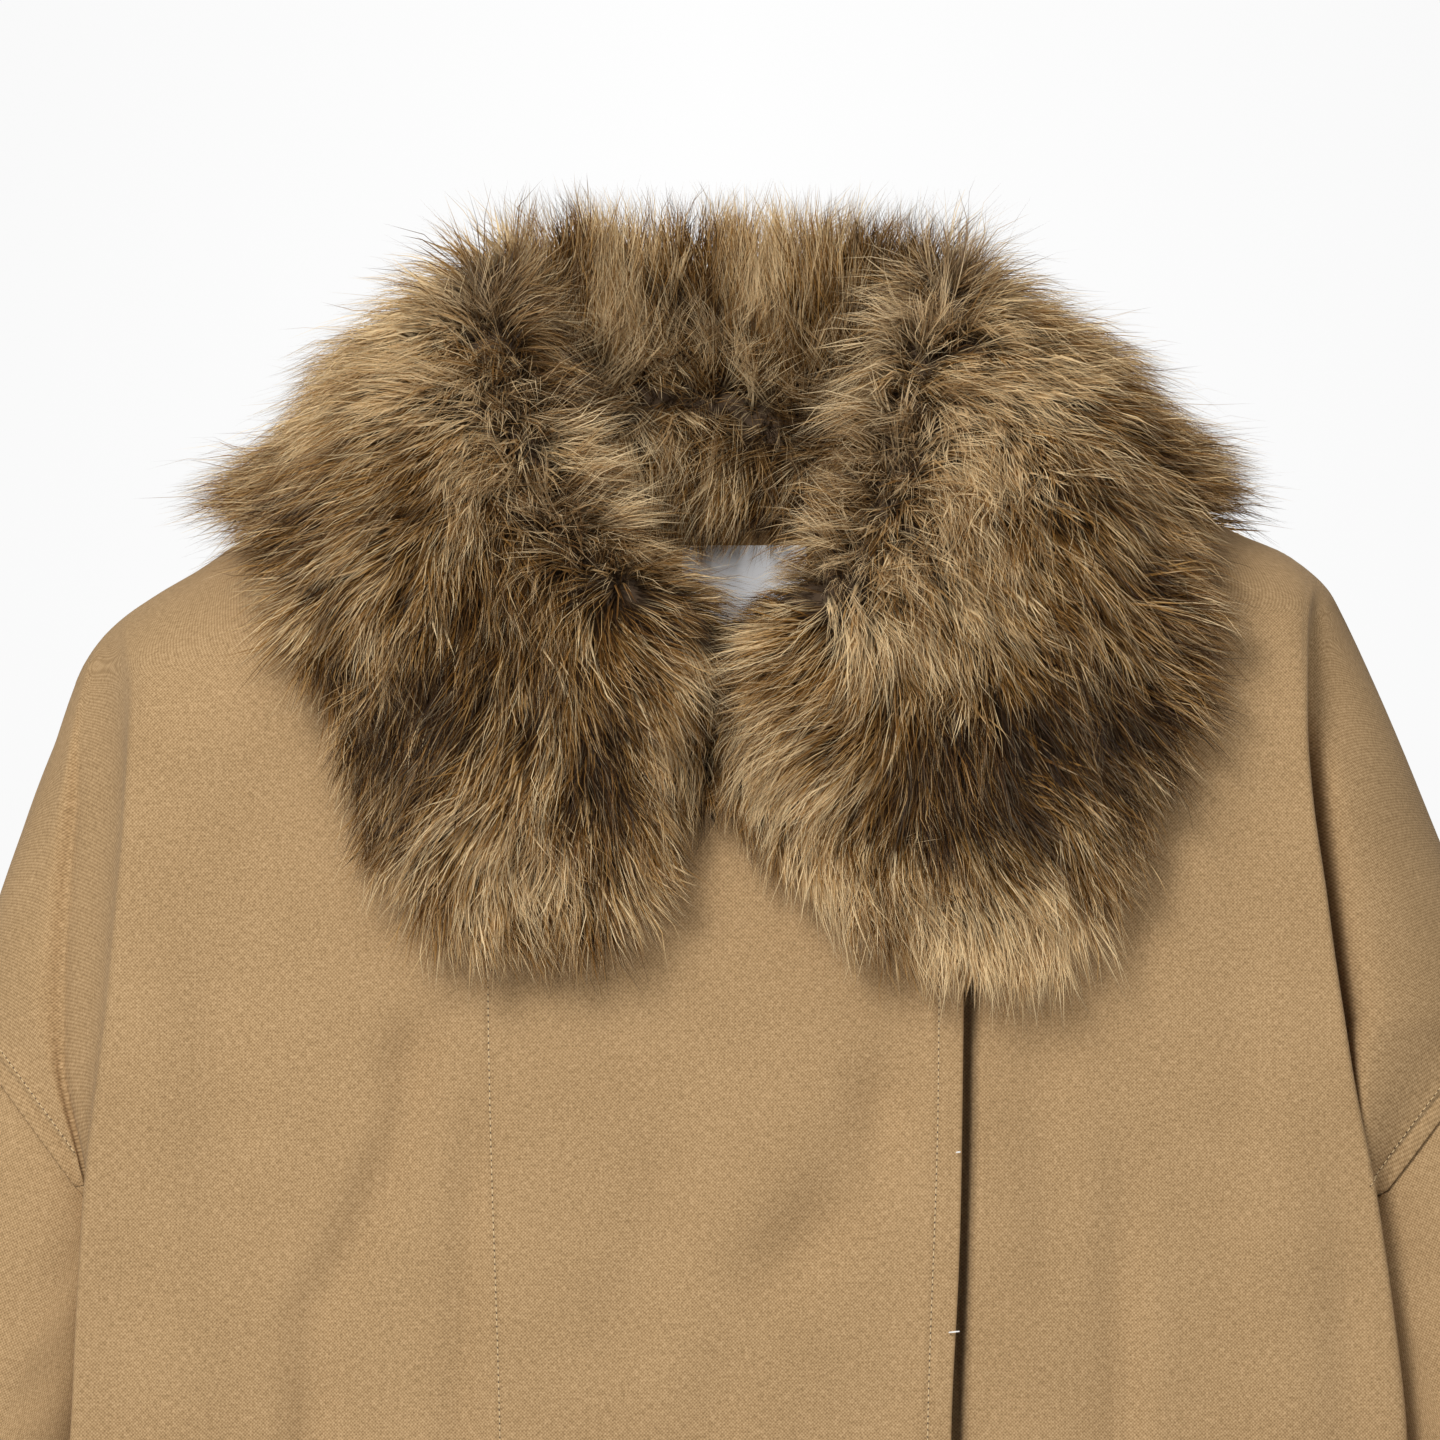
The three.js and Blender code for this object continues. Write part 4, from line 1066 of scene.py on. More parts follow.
def even_sections(sections, length):
    """The sections with evenly spaced points, and a little smoothed."""
    share = np.linspace(0, 1, SIDE_POINTS)
    even = np.empty((len(sections), SIDE_POINTS, 3))
    for s in range(len(sections)):
        for axis in range(3):
            even[s, :, axis] = np.interp(share * length[s, -1], length[s], sections[s, :, axis])
    for _ in range(EVENING):
        even[:, 1:-1] = even[:, 1:-1] * 0.5 + (even[:, :-2] + even[:, 2:]) * 0.25
    return even


# %% Sections of the pelt, from the leaf's edge over the roll to the neck seam
def half_collar(table, rolled, sign):
    read = [smooth(table, c) for c in range(1, 6)]
    edge = smooth([(r[0], 0.0 if r[0] == 90 else (1 if r[0] < 90 else -1)
                    * float(round_of(r[4] * sign, r[5]))) for r in table])
    neck = stations_of(edge, read[3])
    roll_x, roll_y, roll_drop, edge_x, _ = (r(neck) for r in read)
    rear = neck > 90
    turn = np.radians(np.where(rear, 180 - neck, neck))
    low = np.where(rear, BACK_NECK_DROP, FRONT_NECK_DROP)
    neck_x = np.maximum(3, NECK_HALF * np.sin(turn)) * sign
    neck_x = np.where(neck > 179.9, 0, neck_x)
    neck_drop = mix(float(shoulder_drop(NECK_HALF * sign)), low, np.cos(turn)) - FOOT_RISE
    neck_round = np.where(rear, -1, 1) * round_of(neck_x, neck_drop)
    edge_round = edge(neck)

    def under(share, height):
        return off_body(mix(neck_x, edge_x * sign, share), mix(neck_round, edge_round, share),
                        np.broadcast_to(height, neck.shape))

    span = np.linalg.norm(under(1.0, 2.0)[0] - under(0.0, 2.0)[0], axis=1)
    reach = 1 - EDGE_IN / span
    near, middle, rim = (smooth(PELT_HEIGHT, c)(neck) for c in (1, 2, 3))
    # the leaves thin out towards the crease where they meet
    plump = np.sqrt(np.clip(1 - (1 - np.clip(neck / 11, 0, 1)) ** 2, 0.02, 1))
    foot = under(0.0, mix(2.2, 1.0, ease(np.abs(neck - 90) / 25)))[0]
    roll = np.stack([roll_x * sign, roll_y, -roll_drop], axis=-1)
    core = under(0.16, 9.0)[0]
    roll_in, bulge_high, bulge_low = (smooth(rolled, c)(neck) for c in (1, 2, 3))
    roll = roll + unit(core - roll) * (roll_in + 6 * (1 - plump))[:, None]
    inward = unit(foot * np.stack([-1 + 0 * neck, np.where(rear, -1, -0.4), 0 * neck], axis=1))
    inner = [foot + (roll - foot) * s + inward * r[:, None]
             for s, r in ((0.66, bulge_high), (0.3, bulge_low))]
    upper = [under(reach, 3.0)[0], under(reach - 0.015, rim * plump)[0],
             under(reach - 0.10, mix(rim, middle, 0.55) * plump)[0],
             under(0.68 * reach, middle * plump)[0], under(0.4 * reach, near * plump)[0],
             roll, inner[0], inner[1], foot]
    upper = np.stack(upper, axis=1)
    steps = np.linalg.norm(np.diff(upper, axis=1), axis=2)
    length = np.concatenate([np.zeros((len(neck), 1)), np.cumsum(steps, axis=1)], axis=1)
    roll_share = length[:, 5] / length[:, -1]             # the roll is the sixth point
    bottom = np.stack([under(reach * s, UNDER_GAP)[0] for s in (0.2, 0.45, 0.7, 0.9)], axis=1)
    cloth_normal = np.stack([under(reach * (1 - s) * 0.98, 3.0)[1]
                             for s in np.linspace(0, 1, SIDE_POINTS)], axis=1)
    outward = unit(under(reach, 3.0)[0] - under(reach * 0.82, 3.0)[0])
    return dict(neck=neck, upper=even_sections(upper, length), bottom=bottom,
                roll_share=roll_share, cloth_normal=cloth_normal, outward=outward,
                length=length[:, -1])


# %% Both halves joined at the back of the neck
halves = [half_collar(COLLAR_RIGHT, ROLL_RIGHT, -1), half_collar(COLLAR_LEFT, ROLL_LEFT, 1)]
joined = {k: np.concatenate([halves[0][k], halves[1][k][:-1][::-1]])
          for k in ("neck", "upper", "bottom", "roll_share", "cloth_normal", "outward", "length")}
stations, sides = joined["upper"].shape[:2]
print("pelt:", stations, "stations of", sides, "points, neck to edge",
      round(float(joined["length"].min())), "to", round(float(joined["length"].max())), "mm")

# %% [markdown]
# ## The way the hair lies
# Hair runs from the roll outwards to the leaf's edge, and from the roll inwards to the
# neck; behind the neck it runs up from half way and stands over the top. Where two ways
# meet it is crossed, short-looking and dark. Weight draws it down, and soft whorls turn it.
# Combing by hand in a hair editor would do this too, but rules for each place can be read,
# and come out the same each time. "lay" is the way the hair leans, "rise" is off the pelt.

# %% Ways off the pelt, and the line where the hair parts
upper = joined["upper"]
along = np.gradient(upper, axis=1)                     # towards the neck seam
across = np.gradient(upper, axis=0)
rise = unit(np.cross(along, across))
middle_of = upper.mean(axis=1, keepdims=True)
rise *= np.sign((rise * (upper - middle_of)).sum(-1).mean()) or 1
share = np.broadcast_to(np.linspace(0, 1, sides), upper.shape[:2])
neck = np.broadcast_to(joined["neck"][:, None], upper.shape[:2])
part = joined["roll_share"][:, None] + 0.0 * share
behind = ease((neck - 96) / 30)
part = mix(part, mix(part, 1.0, 0.60), behind)         # parting line
part = part + (0.02 + 0.05 * behind) * waves(upper.reshape(-1, 3), 75, 70).reshape(neck.shape)
from_part = share - part

# %% The way the hair leans, place by place
to_edge = -unit(along)
lay = np.where(from_part[..., None] < 0, to_edge, -to_edge)
# near the leaf's edge it lies flat on the cloth and points straight out
near_edge = ease(1 - share / 0.30)[..., None]
lay = unit(mix(lay, joined["outward"][:, None, :], near_edge * 0.85))
rise = unit(mix(rise, joined["cloth_normal"], near_edge * 0.9))
down, towards_eye = np.array([0.0, 0.0, -1.0]), np.array([0.0, -1.0, 0.0])
front_leaf = ease((95 - neck) / 25)[..., None]
inner_leaf = front_leaf * (from_part > 0)[..., None]
lay = unit(lay + down * (0.42 * front_leaf * (from_part[..., None] < 0) + 0.10))
# in the neck opening the leaves' hair stands in towards the middle
towards = np.stack([-np.sign(upper[..., 0]), 0 * neck - 0.15, 0 * neck - 0.35], axis=-1)
lay = unit(mix(lay, unit(towards), 0.62 * inner_leaf))
# behind the neck it is combed straight up
lifted = (ease((neck - 100) / 25) * (from_part < 0) * ease((share - 0.5) / 0.1))[..., None]
lay = unit(mix(lay, np.array([0.0, 0.0, 1.0]), 0.6 * lifted))

# %% The crease in the middle of the front, whorls, and crossed hair
# near the middle front it sweeps from the roll towards the crease, then down
sign_at = np.concatenate([np.full(len(halves[0]["neck"]), -1.0),
                          np.full(len(halves[1]["neck"]) - 1, 1.0)])[:, None] + 0 * neck
fallen = np.clip(-from_part / part, 0, 1)
sweep = unit(np.stack([-sign_at * (0.95 - 1.05 * fallen), 0 * neck - 0.1,
                       -0.2 - 1.1 * fallen], axis=-1))
swept = ((1 - ease((neck - 20) / 24)) * (1 - ease(from_part / 0.06)))[..., None]
lay = unit(mix(lay, sweep, 0.9 * swept))
at_crease = (1 - ease((neck - 5) / 15))[..., None]
lay = unit(mix(lay, down - 0.1 * towards_eye, 0.75 * at_crease * (from_part[..., None] < 0)))
flat_points = upper.reshape(-1, 3)
whorl = (0.34 * waves(flat_points, 71, 66) + 0.22 * waves(flat_points, 72, 30)).reshape(neck.shape)
whorl = whorl * (1 - 0.55 * lifted[..., 0])
turned = np.cross(rise, lay)
lay = unit(lay * np.cos(whorl)[..., None] + turned * np.sin(whorl)[..., None])
uneven = waves(flat_points, 74, 34).reshape(neck.shape)
messy = (np.exp(-((from_part + 0.03 * uneven) / 0.07) ** 2) * (0.62 + 0.3 * uneven)
         * mix(1.0, 0.9, behind) * ease((neck - 18) / 22))
tufts = np.clip(waves(flat_points, 73, 40).reshape(neck.shape) - 0.9, 0, 1)
messy = np.clip(messy + 0.35 * tufts, 0, 1)

# %% Darker and lighter hair, with painted shade and painted light
# Patches seen from the front: x, drop, half width, half height, and how much darker
# (negative) or lighter the hair is. The two at the middle front, at x 0 and -4, are painted
# shade in the crease where the leaves meet.
TONE_AND_CREASE_SHADE_PATCHES = [
    (122, 96, 34, 20, -0.95), (78, 138, 30, 18, -0.60), (100, 118, 42, 20, -0.58),
    (-96, 84, 16, 9, -0.60), (-104, 116, 22, 28, -0.32), (-60, -42, 8, 34, -0.95),
    (62, -46, 11, 20, -1.1), (-140, 36, 34, 30, -0.22), (130, 22, 40, 26, -0.22),
    (-48, 124, 12, 30, -0.30), (10, 28, 30, 14, -0.60), (40, 90, 9, 12, -0.45),
    (-88, 90, 40, 38, -0.58), (-10, -50, 6, 36, -0.75), (-24, 10, 18, 18, -0.22),
    (0, 84, 7, 30, -1.3), (-4, 134, 7, 30, -1.2), (160, 60, 16, 40, -0.30),
    (76, -2, 26, 38, 0.55), (112, -22, 34, 22, 0.55), (50, 74, 22, 22, 0.36),
    (45, 136, 26, 24, 0.55), (104, 172, 38, 20, 0.70), (-44, 36, 18, 14, 0.32),
    (-150, -6, 40, 24, 0.55), (-20, 100, 14, 30, 0.34), (-64, 142, 22, 14, 0.30),
    (-112, -36, 34, 18, 0.50), (-42, -50, 12, 24, 0.40), (16, -48, 12, 26, 0.45),
    (-32, -60, 5, 30, -0.55), (36, -60, 5, 30, -0.5), (-58, -4, 10, 20, 0.30),
    (160, 16, 24, 20, 0.25)]
tone = 0.20 * waves(flat_points, 81, 46) + 0.26 * waves(flat_points, 82, 18)
facing = ease(0.5 - 0.9 * rise.reshape(-1, 3)[:, 1])
for x, drop, wide, high, strength in TONE_AND_CREASE_SHADE_PATCHES:
    off = ((flat_points[:, 0] - x) / wide) ** 2 + ((-flat_points[:, 2] - drop) / high) ** 2
    tone = tone + strength * np.exp(-off) * facing
tone = tone.reshape(neck.shape) - 0.05 * messy
# painted shade darkens the hair on the inner side of the roll, towards the neck opening, and
# painted light lightens the hair standing over the top behind the neck
opening_shade = ease((share - part - 0.05) / 0.2) * (1 - behind)
tone = tone - 0.55 * opening_shade + 0.16 * behind * ease((share - 0.5) / 0.1) * (from_part < 0)

# %% How long the hair is
length = 36 + 4.0 * waves(flat_points, 83, 50).reshape(neck.shape)
length = length * mix(1, 0.92, behind * ease((share - 0.45) / 0.2))
length = length * mix(1, 0.60, (1 - ease((neck - 12) / 26)) * (from_part > -0.06))
length = length * mix(1, 0.62, 1 - ease((neck - 5) / 13))
clear = ((flat_points[:, 0] - 24) / 22) ** 2 + ((-flat_points[:, 2] - 54) / 15) ** 2
length = length * (1 - 0.55 * np.exp(-clear).reshape(neck.shape))    # the label shows
length = length * mix(1, 0.62, ease((share - 0.9) / 0.1)) * mix(1, 0.85, messy)

# %% How close the hair stands: the outer side behind needs less
over_top = joined["roll_share"][:, None] - 0.20
thick = mix(1.0, 0.45, ease((neck - 110) / 30) * ease((over_top - share) / 0.1))
thick = thick + 0.5 * behind * np.exp(-((share - joined["roll_share"][:, None]) / 0.10) ** 2)
fuzz = messy * (1 - ease((share - 0.93) / 0.07))
thick = thick * mix(1, 0.55, ease((share - 0.93) / 0.07))

# %% The pelt as a closed padded piece
def pelt(name):
    ring = np.concatenate([upper, joined["bottom"]], axis=1)
    around = ring.shape[1]
    points = list(ring.reshape(-1, 3))

    def at(s, i):
        return s * around + i % around

    faces = [(at(s, i), at(s, i + 1), at(s + 1, i + 1), at(s + 1, i))
             for s in range(stations - 1) for i in range(around)]
    for s, flip in ((0, False), (stations - 1, True)):
        points.append(ring[s].mean(axis=0))
        for i in range(around):
            tri = (len(points) - 1, at(s, i + 1), at(s, i))
            faces.append(tri[::-1] if flip else tri)
    mesh = mesh_of(name, points, faces)
    fields = dict(length=length, tone=tone, messy=messy, thick=thick, fuzz=fuzz)
    for key, values in fields.items():
        full = np.zeros((stations, around))
        full[:, :sides] = values
        ends = np.full(2, 30.0 if key == "length" else 0.0)
        put(mesh, key, np.concatenate([full.ravel(), ends]))
    for key, values in dict(lay=lay, rise=rise).items():
        full = np.zeros((stations, around, 3))
        full[:, :sides] = values
        full[:, sides:] = values[:, :1]
        ends = np.stack([values[0].mean(0), values[-1].mean(0)])
        put(mesh, key, np.concatenate([full.reshape(-1, 3), ends]))
    return in_scene(name, mesh)


pelt_skin = pelt("fur_pelt")
volume_sign = sum(f.center.dot(f.normal) * f.area for f in pelt_skin.data.polygons)
if volume_sign < 0:
    pelt_skin.data.flip_normals()
print("pelt faces", len(pelt_skin.data.polygons), "turned" if volume_sign < 0 else "facing out")

# %% [markdown]
# ## The hair
# Pile fur is sewn or knitted in locks of a few hairs that share a root and lean together.
# Single hairs would be far too many, and a hair system isn't a mesh. So a few unlike locks
# of flat tapering strips are drawn, then set over the pelt by Geometry Nodes, leaning with
# the lay, with a soft disorder that bunches their ends.

# %% A lock of hair
LINE_STEPS = 12                               # in which each hair's bend is worked out


def hair_line(rng, spread, long, lean, gather):
    """The middle line of one hair. Local Z is off the pelt, X is the lay."""
    angle, far = rng.uniform(0, 2 * np.pi), spread * math.sqrt(rng.uniform())
    line = [np.array([far * math.cos(angle), far * math.sin(angle), -0.5])]
    size = long * rng.uniform(0.72, 1.12)
    lean0, lean1 = lean[0] + rng.normal() * 9, lean[1] + rng.normal() * 7
    swing, curl = rng.normal() * 9, rng.normal() * 12
    roll = rng.uniform(-50, 50)
    for k in range(LINE_STEPS):
        t = (k + 0.5) / LINE_STEPS
        a = math.radians(mix(lean0, lean1, t ** 0.8))
        b = math.radians(swing + curl * t)
        way = np.array([math.sin(a) * math.cos(b), math.sin(a) * math.sin(b), math.cos(a)])
        further = line[-1] + way * size / LINE_STEPS
        further[1] -= further[1] * gather / LINE_STEPS * 1.6      # tips draw together
        line.append(further)
    return np.array(line), math.radians(roll)


# %% A whole lock
def lock(name, hairs, segments, long, wide, spread, lean, seed, gather=0.6):
    """Flat tapering hairs from a common root."""
    rng = np.random.default_rng(seed)
    points, faces, along, strand, cross = [], [], [], [], []
    kept = np.linspace(0, LINE_STEPS, segments + 1).round().astype(int)
    for _ in range(hairs):
        line, roll = hair_line(rng, spread, long, lean, gather)
        line, own = line[kept], rng.uniform()
        width = wide * rng.uniform(0.75, 1.25)
        for k in range(segments + 1):
            t = k / segments
            way = unit(line[min(k + 1, segments)] - line[max(k - 1, 0)])
            side_way = unit(np.cross(way, [0.0, 0.0, 1.0]))
            up_way = np.cross(side_way, way)
            flat = side_way * math.cos(roll) + up_way * math.sin(roll)
            half = width / 2 * (1 - 0.15 * abs(2 * t - 0.6)) * (1 - t ** 3)
            if k == segments:
                points.append(line[k])
                along.append(1.0)
                strand.append(own)
                cross.append(0.5)
            else:
                points += [line[k] - flat * half, line[k] + flat * half]
                along += [t, t]
                strand += [own, own]
                cross += [0.0, 1.0]
        base = len(points) - (2 * segments + 1)
        for k in range(segments - 1):
            faces.append((base + 2 * k, base + 2 * k + 1, base + 2 * k + 3, base + 2 * k + 2))
        faces.append((base + 2 * segments - 2, base + 2 * segments - 1, base + 2 * segments))
    mesh = mesh_of(name, points, faces)
    for key, values in dict(along=along, strand=strand, cross=cross).items():
        put(mesh, key, values)
    return bpy.data.objects.new(name, mesh)


def lock_set(name, count, **shape):
    """A collection of unlike locks, kept out of the scene."""
    group = bpy.data.collections.new(name)
    for i in range(count):
        group.objects.link(lock(f"{name}_{i}", seed=900 + 17 * i + len(name), **shape))
    return group


# %% An empty Geometry Nodes tree with its named inputs
def new_tree(name, **kinds):
    tree = bpy.data.node_groups.new(name, "GeometryNodeTree")
    face = tree.interface
    face.new_socket("Geometry", in_out="INPUT", socket_type="NodeSocketGeometry")
    for key, kind in kinds.items():
        face.new_socket(key.replace("_", " "), in_out="INPUT", socket_type=f"NodeSocket{kind}")
    face.new_socket("Geometry", in_out="OUTPUT", socket_type="NodeSocketGeometry")
    return tree, add(tree, "NodeGroupInput").outputs


def end_tree(tree, geometry, material):
    painted = add(tree, "GeometryNodeSetMaterial", {"Geometry": geometry, "Material": material})
    add(tree, "NodeGroupOutput", {"Geometry": painted.outputs[0]})
    return tree


# %% Geometry Nodes that set the locks
CROSSED_TWIST, CROSSED_STAND = 2.4, -0.55     # more turn, and upright, where hair crosses
BUNCH_SCALE = 95.0                            # bunches of tips, about 10 mm apart


def lay_tree(locks, material, field="thick"):
    tree, given = new_tree("lay_locks", Locks_a_square_metre="Float", Seed="Int",
                           Twist="Float", Disorder="Float", Length="Float")

    def named(key, kind="FLOAT"):
        node = add(tree, "GeometryNodeInputNamedAttribute", {"Name": key}, data_type=kind)
        return node.outputs["Attribute"]

    def chance(low_value, high_value, shift):
        node = add(tree, "FunctionNodeRandomValue", data_type="FLOAT")
        node.inputs[2].default_value, node.inputs[3].default_value = low_value, high_value
        tree.links.new(sums(tree, "ADD", given["Seed"], float(shift)), node.inputs["Seed"])
        return node.outputs[1]

    dense = sums(tree, "MULTIPLY", named(field), given["Locks a square metre"])
    spots = add(tree, "GeometryNodeDistributePointsOnFaces",
                {"Mesh": given["Geometry"], "Density": dense, "Seed": given["Seed"]},
                distribute_method="RANDOM")
    facing = add(tree, "FunctionNodeAxesToRotation",
                 {"Primary Axis": named("rise", "FLOAT_VECTOR"),
                  "Secondary Axis": named("lay", "FLOAT_VECTOR")},
                 primary_axis="Z", secondary_axis="X")
    wild = sums(tree, "MULTIPLY_ADD", named("messy"), CROSSED_TWIST, given["Twist"])
    angle = sums(tree, "MULTIPLY", chance(-1.0, 1.0, 1), wild)
    yaw = add(tree, "FunctionNodeAxisAngleToRotation", {"Axis": (0, 0, 1), "Angle": angle})
    stand = sums(tree, "MULTIPLY_ADD", named("messy"), CROSSED_STAND, chance(-0.14, 0.12, 2))
    nod = add(tree, "FunctionNodeAxisAngleToRotation", {"Axis": (0, 1, 0), "Angle": stand})
    twisted = add(tree, "FunctionNodeRotateRotation",
                  {"Rotation": facing.outputs[0], "Rotate By": yaw.outputs[0]},
                  rotation_space="LOCAL")
    nodded = add(tree, "FunctionNodeRotateRotation",
                 {"Rotation": twisted.outputs[0], "Rotate By": nod.outputs[0]},
                 rotation_space="LOCAL")
    size = sums(tree, "MULTIPLY", sums(tree, "MULTIPLY", named("length"), given["Length"]),
                chance(0.80, 1.18, 3))
    source = add(tree, "GeometryNodeCollectionInfo",
                 {"Collection": locks, "Separate Children": True, "Reset Children": True})
    pick = add(tree, "FunctionNodeRandomValue", data_type="INT")
    pick.inputs[4].default_value, pick.inputs[5].default_value = 0, len(locks.objects) - 1
    placed = add(tree, "GeometryNodeInstanceOnPoints",
                 {"Points": spots.outputs["Points"], "Instance": source.outputs[0],
                  "Pick Instance": True, "Instance Index": pick.outputs[2],
                  "Rotation": nodded.outputs[0], "Scale": size})
    marked = add(tree, "GeometryNodeStoreNamedAttribute",
                 {"Geometry": placed.outputs[0], "Name": "lock", "Value": chance(0.0, 1.0, 5)},
                 data_type="FLOAT", domain="INSTANCE")
    plain = add(tree, "GeometryNodeRealizeInstances", {"Geometry": marked.outputs[0]})
    place = add(tree, "GeometryNodeInputPosition").outputs[0]
    bunch = add(tree, "ShaderNodeTexNoise",
                {"Vector": place, "Scale": BUNCH_SCALE, "Detail": 1.5})
    centred = add(tree, "ShaderNodeVectorMath", {0: bunch.outputs["Color"], 1: (0.5, 0.5, 0.5)},
                  operation="SUBTRACT")
    free = sums(tree, "POWER", named("along"), 1.6)
    sway = add(tree, "ShaderNodeVectorMath",
               {0: centred.outputs[0], "Scale": sums(tree, "MULTIPLY", free, given["Disorder"])},
               operation="SCALE")
    moved = add(tree, "GeometryNodeSetPosition", {"Geometry": plain.outputs[0],
                                                  "Offset": sway.outputs[0]})
    return end_tree(tree, moved.outputs[0], material)


# %% Running the tree, and keeping hair near the collar's reach
HAIR_PAST = 0.019                             # the most that hair stands past that reach
REACH = ((1, -1, 0.108), (1, 1, 0.104), (2, 1, 0.084))       # axis, way, where it starts


def grow(name, tree, density, seed, twist, disorder, size):
    values = {"Locks a square metre": density, "Seed": seed, "Twist": twist,
              "Disorder": disorder, "Length": size}
    obj = run_nodes(in_scene(name, pelt_skin.data), tree, values)
    mesh = obj.data
    points = np.empty(3 * len(mesh.vertices), np.float32)
    mesh.vertices.foreach_get("co", points)
    points = points.reshape(-1, 3)
    for axis, way, start in REACH:
        past = np.maximum(0, way * points[:, axis] - start)     # bent over, not cut
        points[:, axis] -= way * (past - HAIR_PAST * (1 - np.exp(-past / HAIR_PAST)))
    mesh.vertices.foreach_set("co", points.ravel())
    mesh.update()
    print(f"{name}: {triangles(mesh)} triangles")
    return obj


# %% [markdown]
# ## Colours of the hair
# Each hair is dark brown at its root, tan or golden along its middle, and ends in a pale
# or tan tip or, in about half of the hairs, a near-black one. Some patches are darker. Part
# of that is painted shade, in the crease between the leaves and on the hair towards the
# neck opening, and the hair over the top behind the neck has painted light. One flat brown
# would look like plush, so each hair's colour is worked from its own number, its lock's
# number and the patch that it grows in.

# %% Colours along a hair
HAIR_ROOT, WOOL_ROOT = (0.050, 0.027, 0.012), (0.040, 0.024, 0.012)
HAIR_BODY = ((0.08, (0.030, 0.014, 0.005)), (0.35, (0.190, 0.079, 0.013)),
             (0.58, (0.50, 0.272, 0.073)), (0.86, (0.95, 0.74, 0.43)))
HAIR_CROSSED = ((0.10, (0.045, 0.030, 0.018)), (0.50, (0.235, 0.143, 0.068)),
                (0.90, (0.64, 0.46, 0.26)), (1.0, (0.72, 0.54, 0.33)))
HAIR_TIP = ((0.0, (0.016, 0.011, 0.009)), (0.36, (0.42, 0.25, 0.10)),
            (0.54, (0.90, 0.71, 0.44)), (0.86, (0.06, 0.035, 0.02)))
SEEN_THROUGH = 0.28                           # share of light that comes through a hair


# %% Hair material
def hair(name, roots, gloss=0.5, streaks=3.0):
    made, tree = new_material(name)

    def fact(key):
        return add(tree, "ShaderNodeAttribute", attribute_name=key).outputs["Fac"]

    along, strand, patch, bunch = fact("along"), fact("strand"), fact("tone"), fact("lock")
    # thin streaks along each strip, which stand for the single fibres in it
    place = add(tree, "ShaderNodeCombineXYZ", {
        0: sums(tree, "MULTIPLY", fact("cross"), streaks), 1: sums(tree, "MULTIPLY", along, 1.3),
        2: sums(tree, "MULTIPLY_ADD", strand, 97.0, sums(tree, "MULTIPLY", bunch, 61.0))})
    fibre = add(tree, "ShaderNodeTexNoise", {"Vector": place.outputs[0], "Scale": 1.0,
                                             "Detail": 1.0}).outputs[0]
    level = sums(tree, "MULTIPLY_ADD", patch, 0.66, 0.505)
    level = sums(tree, "MULTIPLY_ADD", sums(tree, "SUBTRACT", bunch, 0.5), 0.66, level)
    level = sums(tree, "MULTIPLY_ADD", sums(tree, "SUBTRACT", strand, 0.5), 0.58, level)
    level = sums(tree, "MULTIPLY_ADD", sums(tree, "SUBTRACT", fibre, 0.5), 1.0, level)
    golden = stops(add(tree, "ShaderNodeValToRGB", {0: level}), *HAIR_BODY)
    grey = stops(add(tree, "ShaderNodeValToRGB", {0: level}), *HAIR_CROSSED)
    body = add(tree, "ShaderNodeMix", {0: sums(tree, "MULTIPLY", fact("messy"), 0.8),
                                       6: golden.outputs[0], 7: grey.outputs[0]}, data_type="RGBA")
    tip = stops(add(tree, "ShaderNodeValToRGB", {0: strand}), *HAIR_TIP)
    tip.color_ramp.interpolation = "CONSTANT"

    def between(value, start, stop, low, high, kind="SMOOTHSTEP"):
        return add(tree, "ShaderNodeMapRange",
                   {"Value": value, "From Min": start, "From Max": stop, "To Min": low,
                    "To Max": high}, interpolation_type=kind).outputs[0]

    near_tip = sums(tree, "MULTIPLY", between(along, 0.62, 1.0, 0.0, 0.85),
                    between(level, 0.1, 0.6, 0.35, 1.0, kind="LINEAR"))
    from_root = between(along, 0.05, 0.62, 0.0, 1.0)
    first = add(tree, "ShaderNodeMix", {0: from_root, 6: (*roots, 1.0), 7: body.outputs[2]},
                data_type="RGBA")
    second = add(tree, "ShaderNodeMix", {0: near_tip, 6: first.outputs[2], 7: tip.outputs[0]},
                 data_type="RGBA")
    shine = add(tree, "ShaderNodeBsdfPrincipled", {"Base Color": second.outputs[2],
                                                   "Roughness": gloss, "Specular IOR Level": 0.2})
    through = add(tree, "ShaderNodeBsdfTranslucent", {"Color": second.outputs[2]})
    finish(tree, add(tree, "ShaderNodeMixShader", {0: SEEN_THROUGH, 1: shine.outputs[0],
                                                   2: through.outputs[0]}))
    return made


pile_hair = hair("pile_hair", HAIR_ROOT)
under_hair = hair("under_hair", WOOL_ROOT, gloss=0.7, streaks=9.0)
pelt_skin.data.materials.append(flat_finish("pelt_backing", (0.085, 0.052, 0.028), 0.95))

# %% Undercoat, pile in four passes, long guard hairs, and crossed hair
wool = lock_set("wool_locks", 5, hairs=8, segments=2, long=26, wide=1.05, spread=3.4,
                lean=(38, 78))
pile = lock_set("pile_locks", 7, hairs=7, segments=3, long=37, wide=0.29, spread=2.6,
                lean=(38, 82), gather=0.8)
guard = lock_set("guard_locks", 5, hairs=4, segments=4, long=42, wide=0.17, spread=3.0,
                 lean=(32, 72), gather=0.2)
crossed = lock_set("crossed_locks", 5, hairs=8, segments=2, long=17, wide=0.30, spread=4.0,
                   lean=(8, 62), gather=0.0)
wool_tree, pile_tree, guard_tree = (lay_tree(g, m) for g, m in (
    (wool, under_hair), (pile, pile_hair), (guard, pile_hair)))
crossed_tree = lay_tree(crossed, pile_hair, field="fuzz")
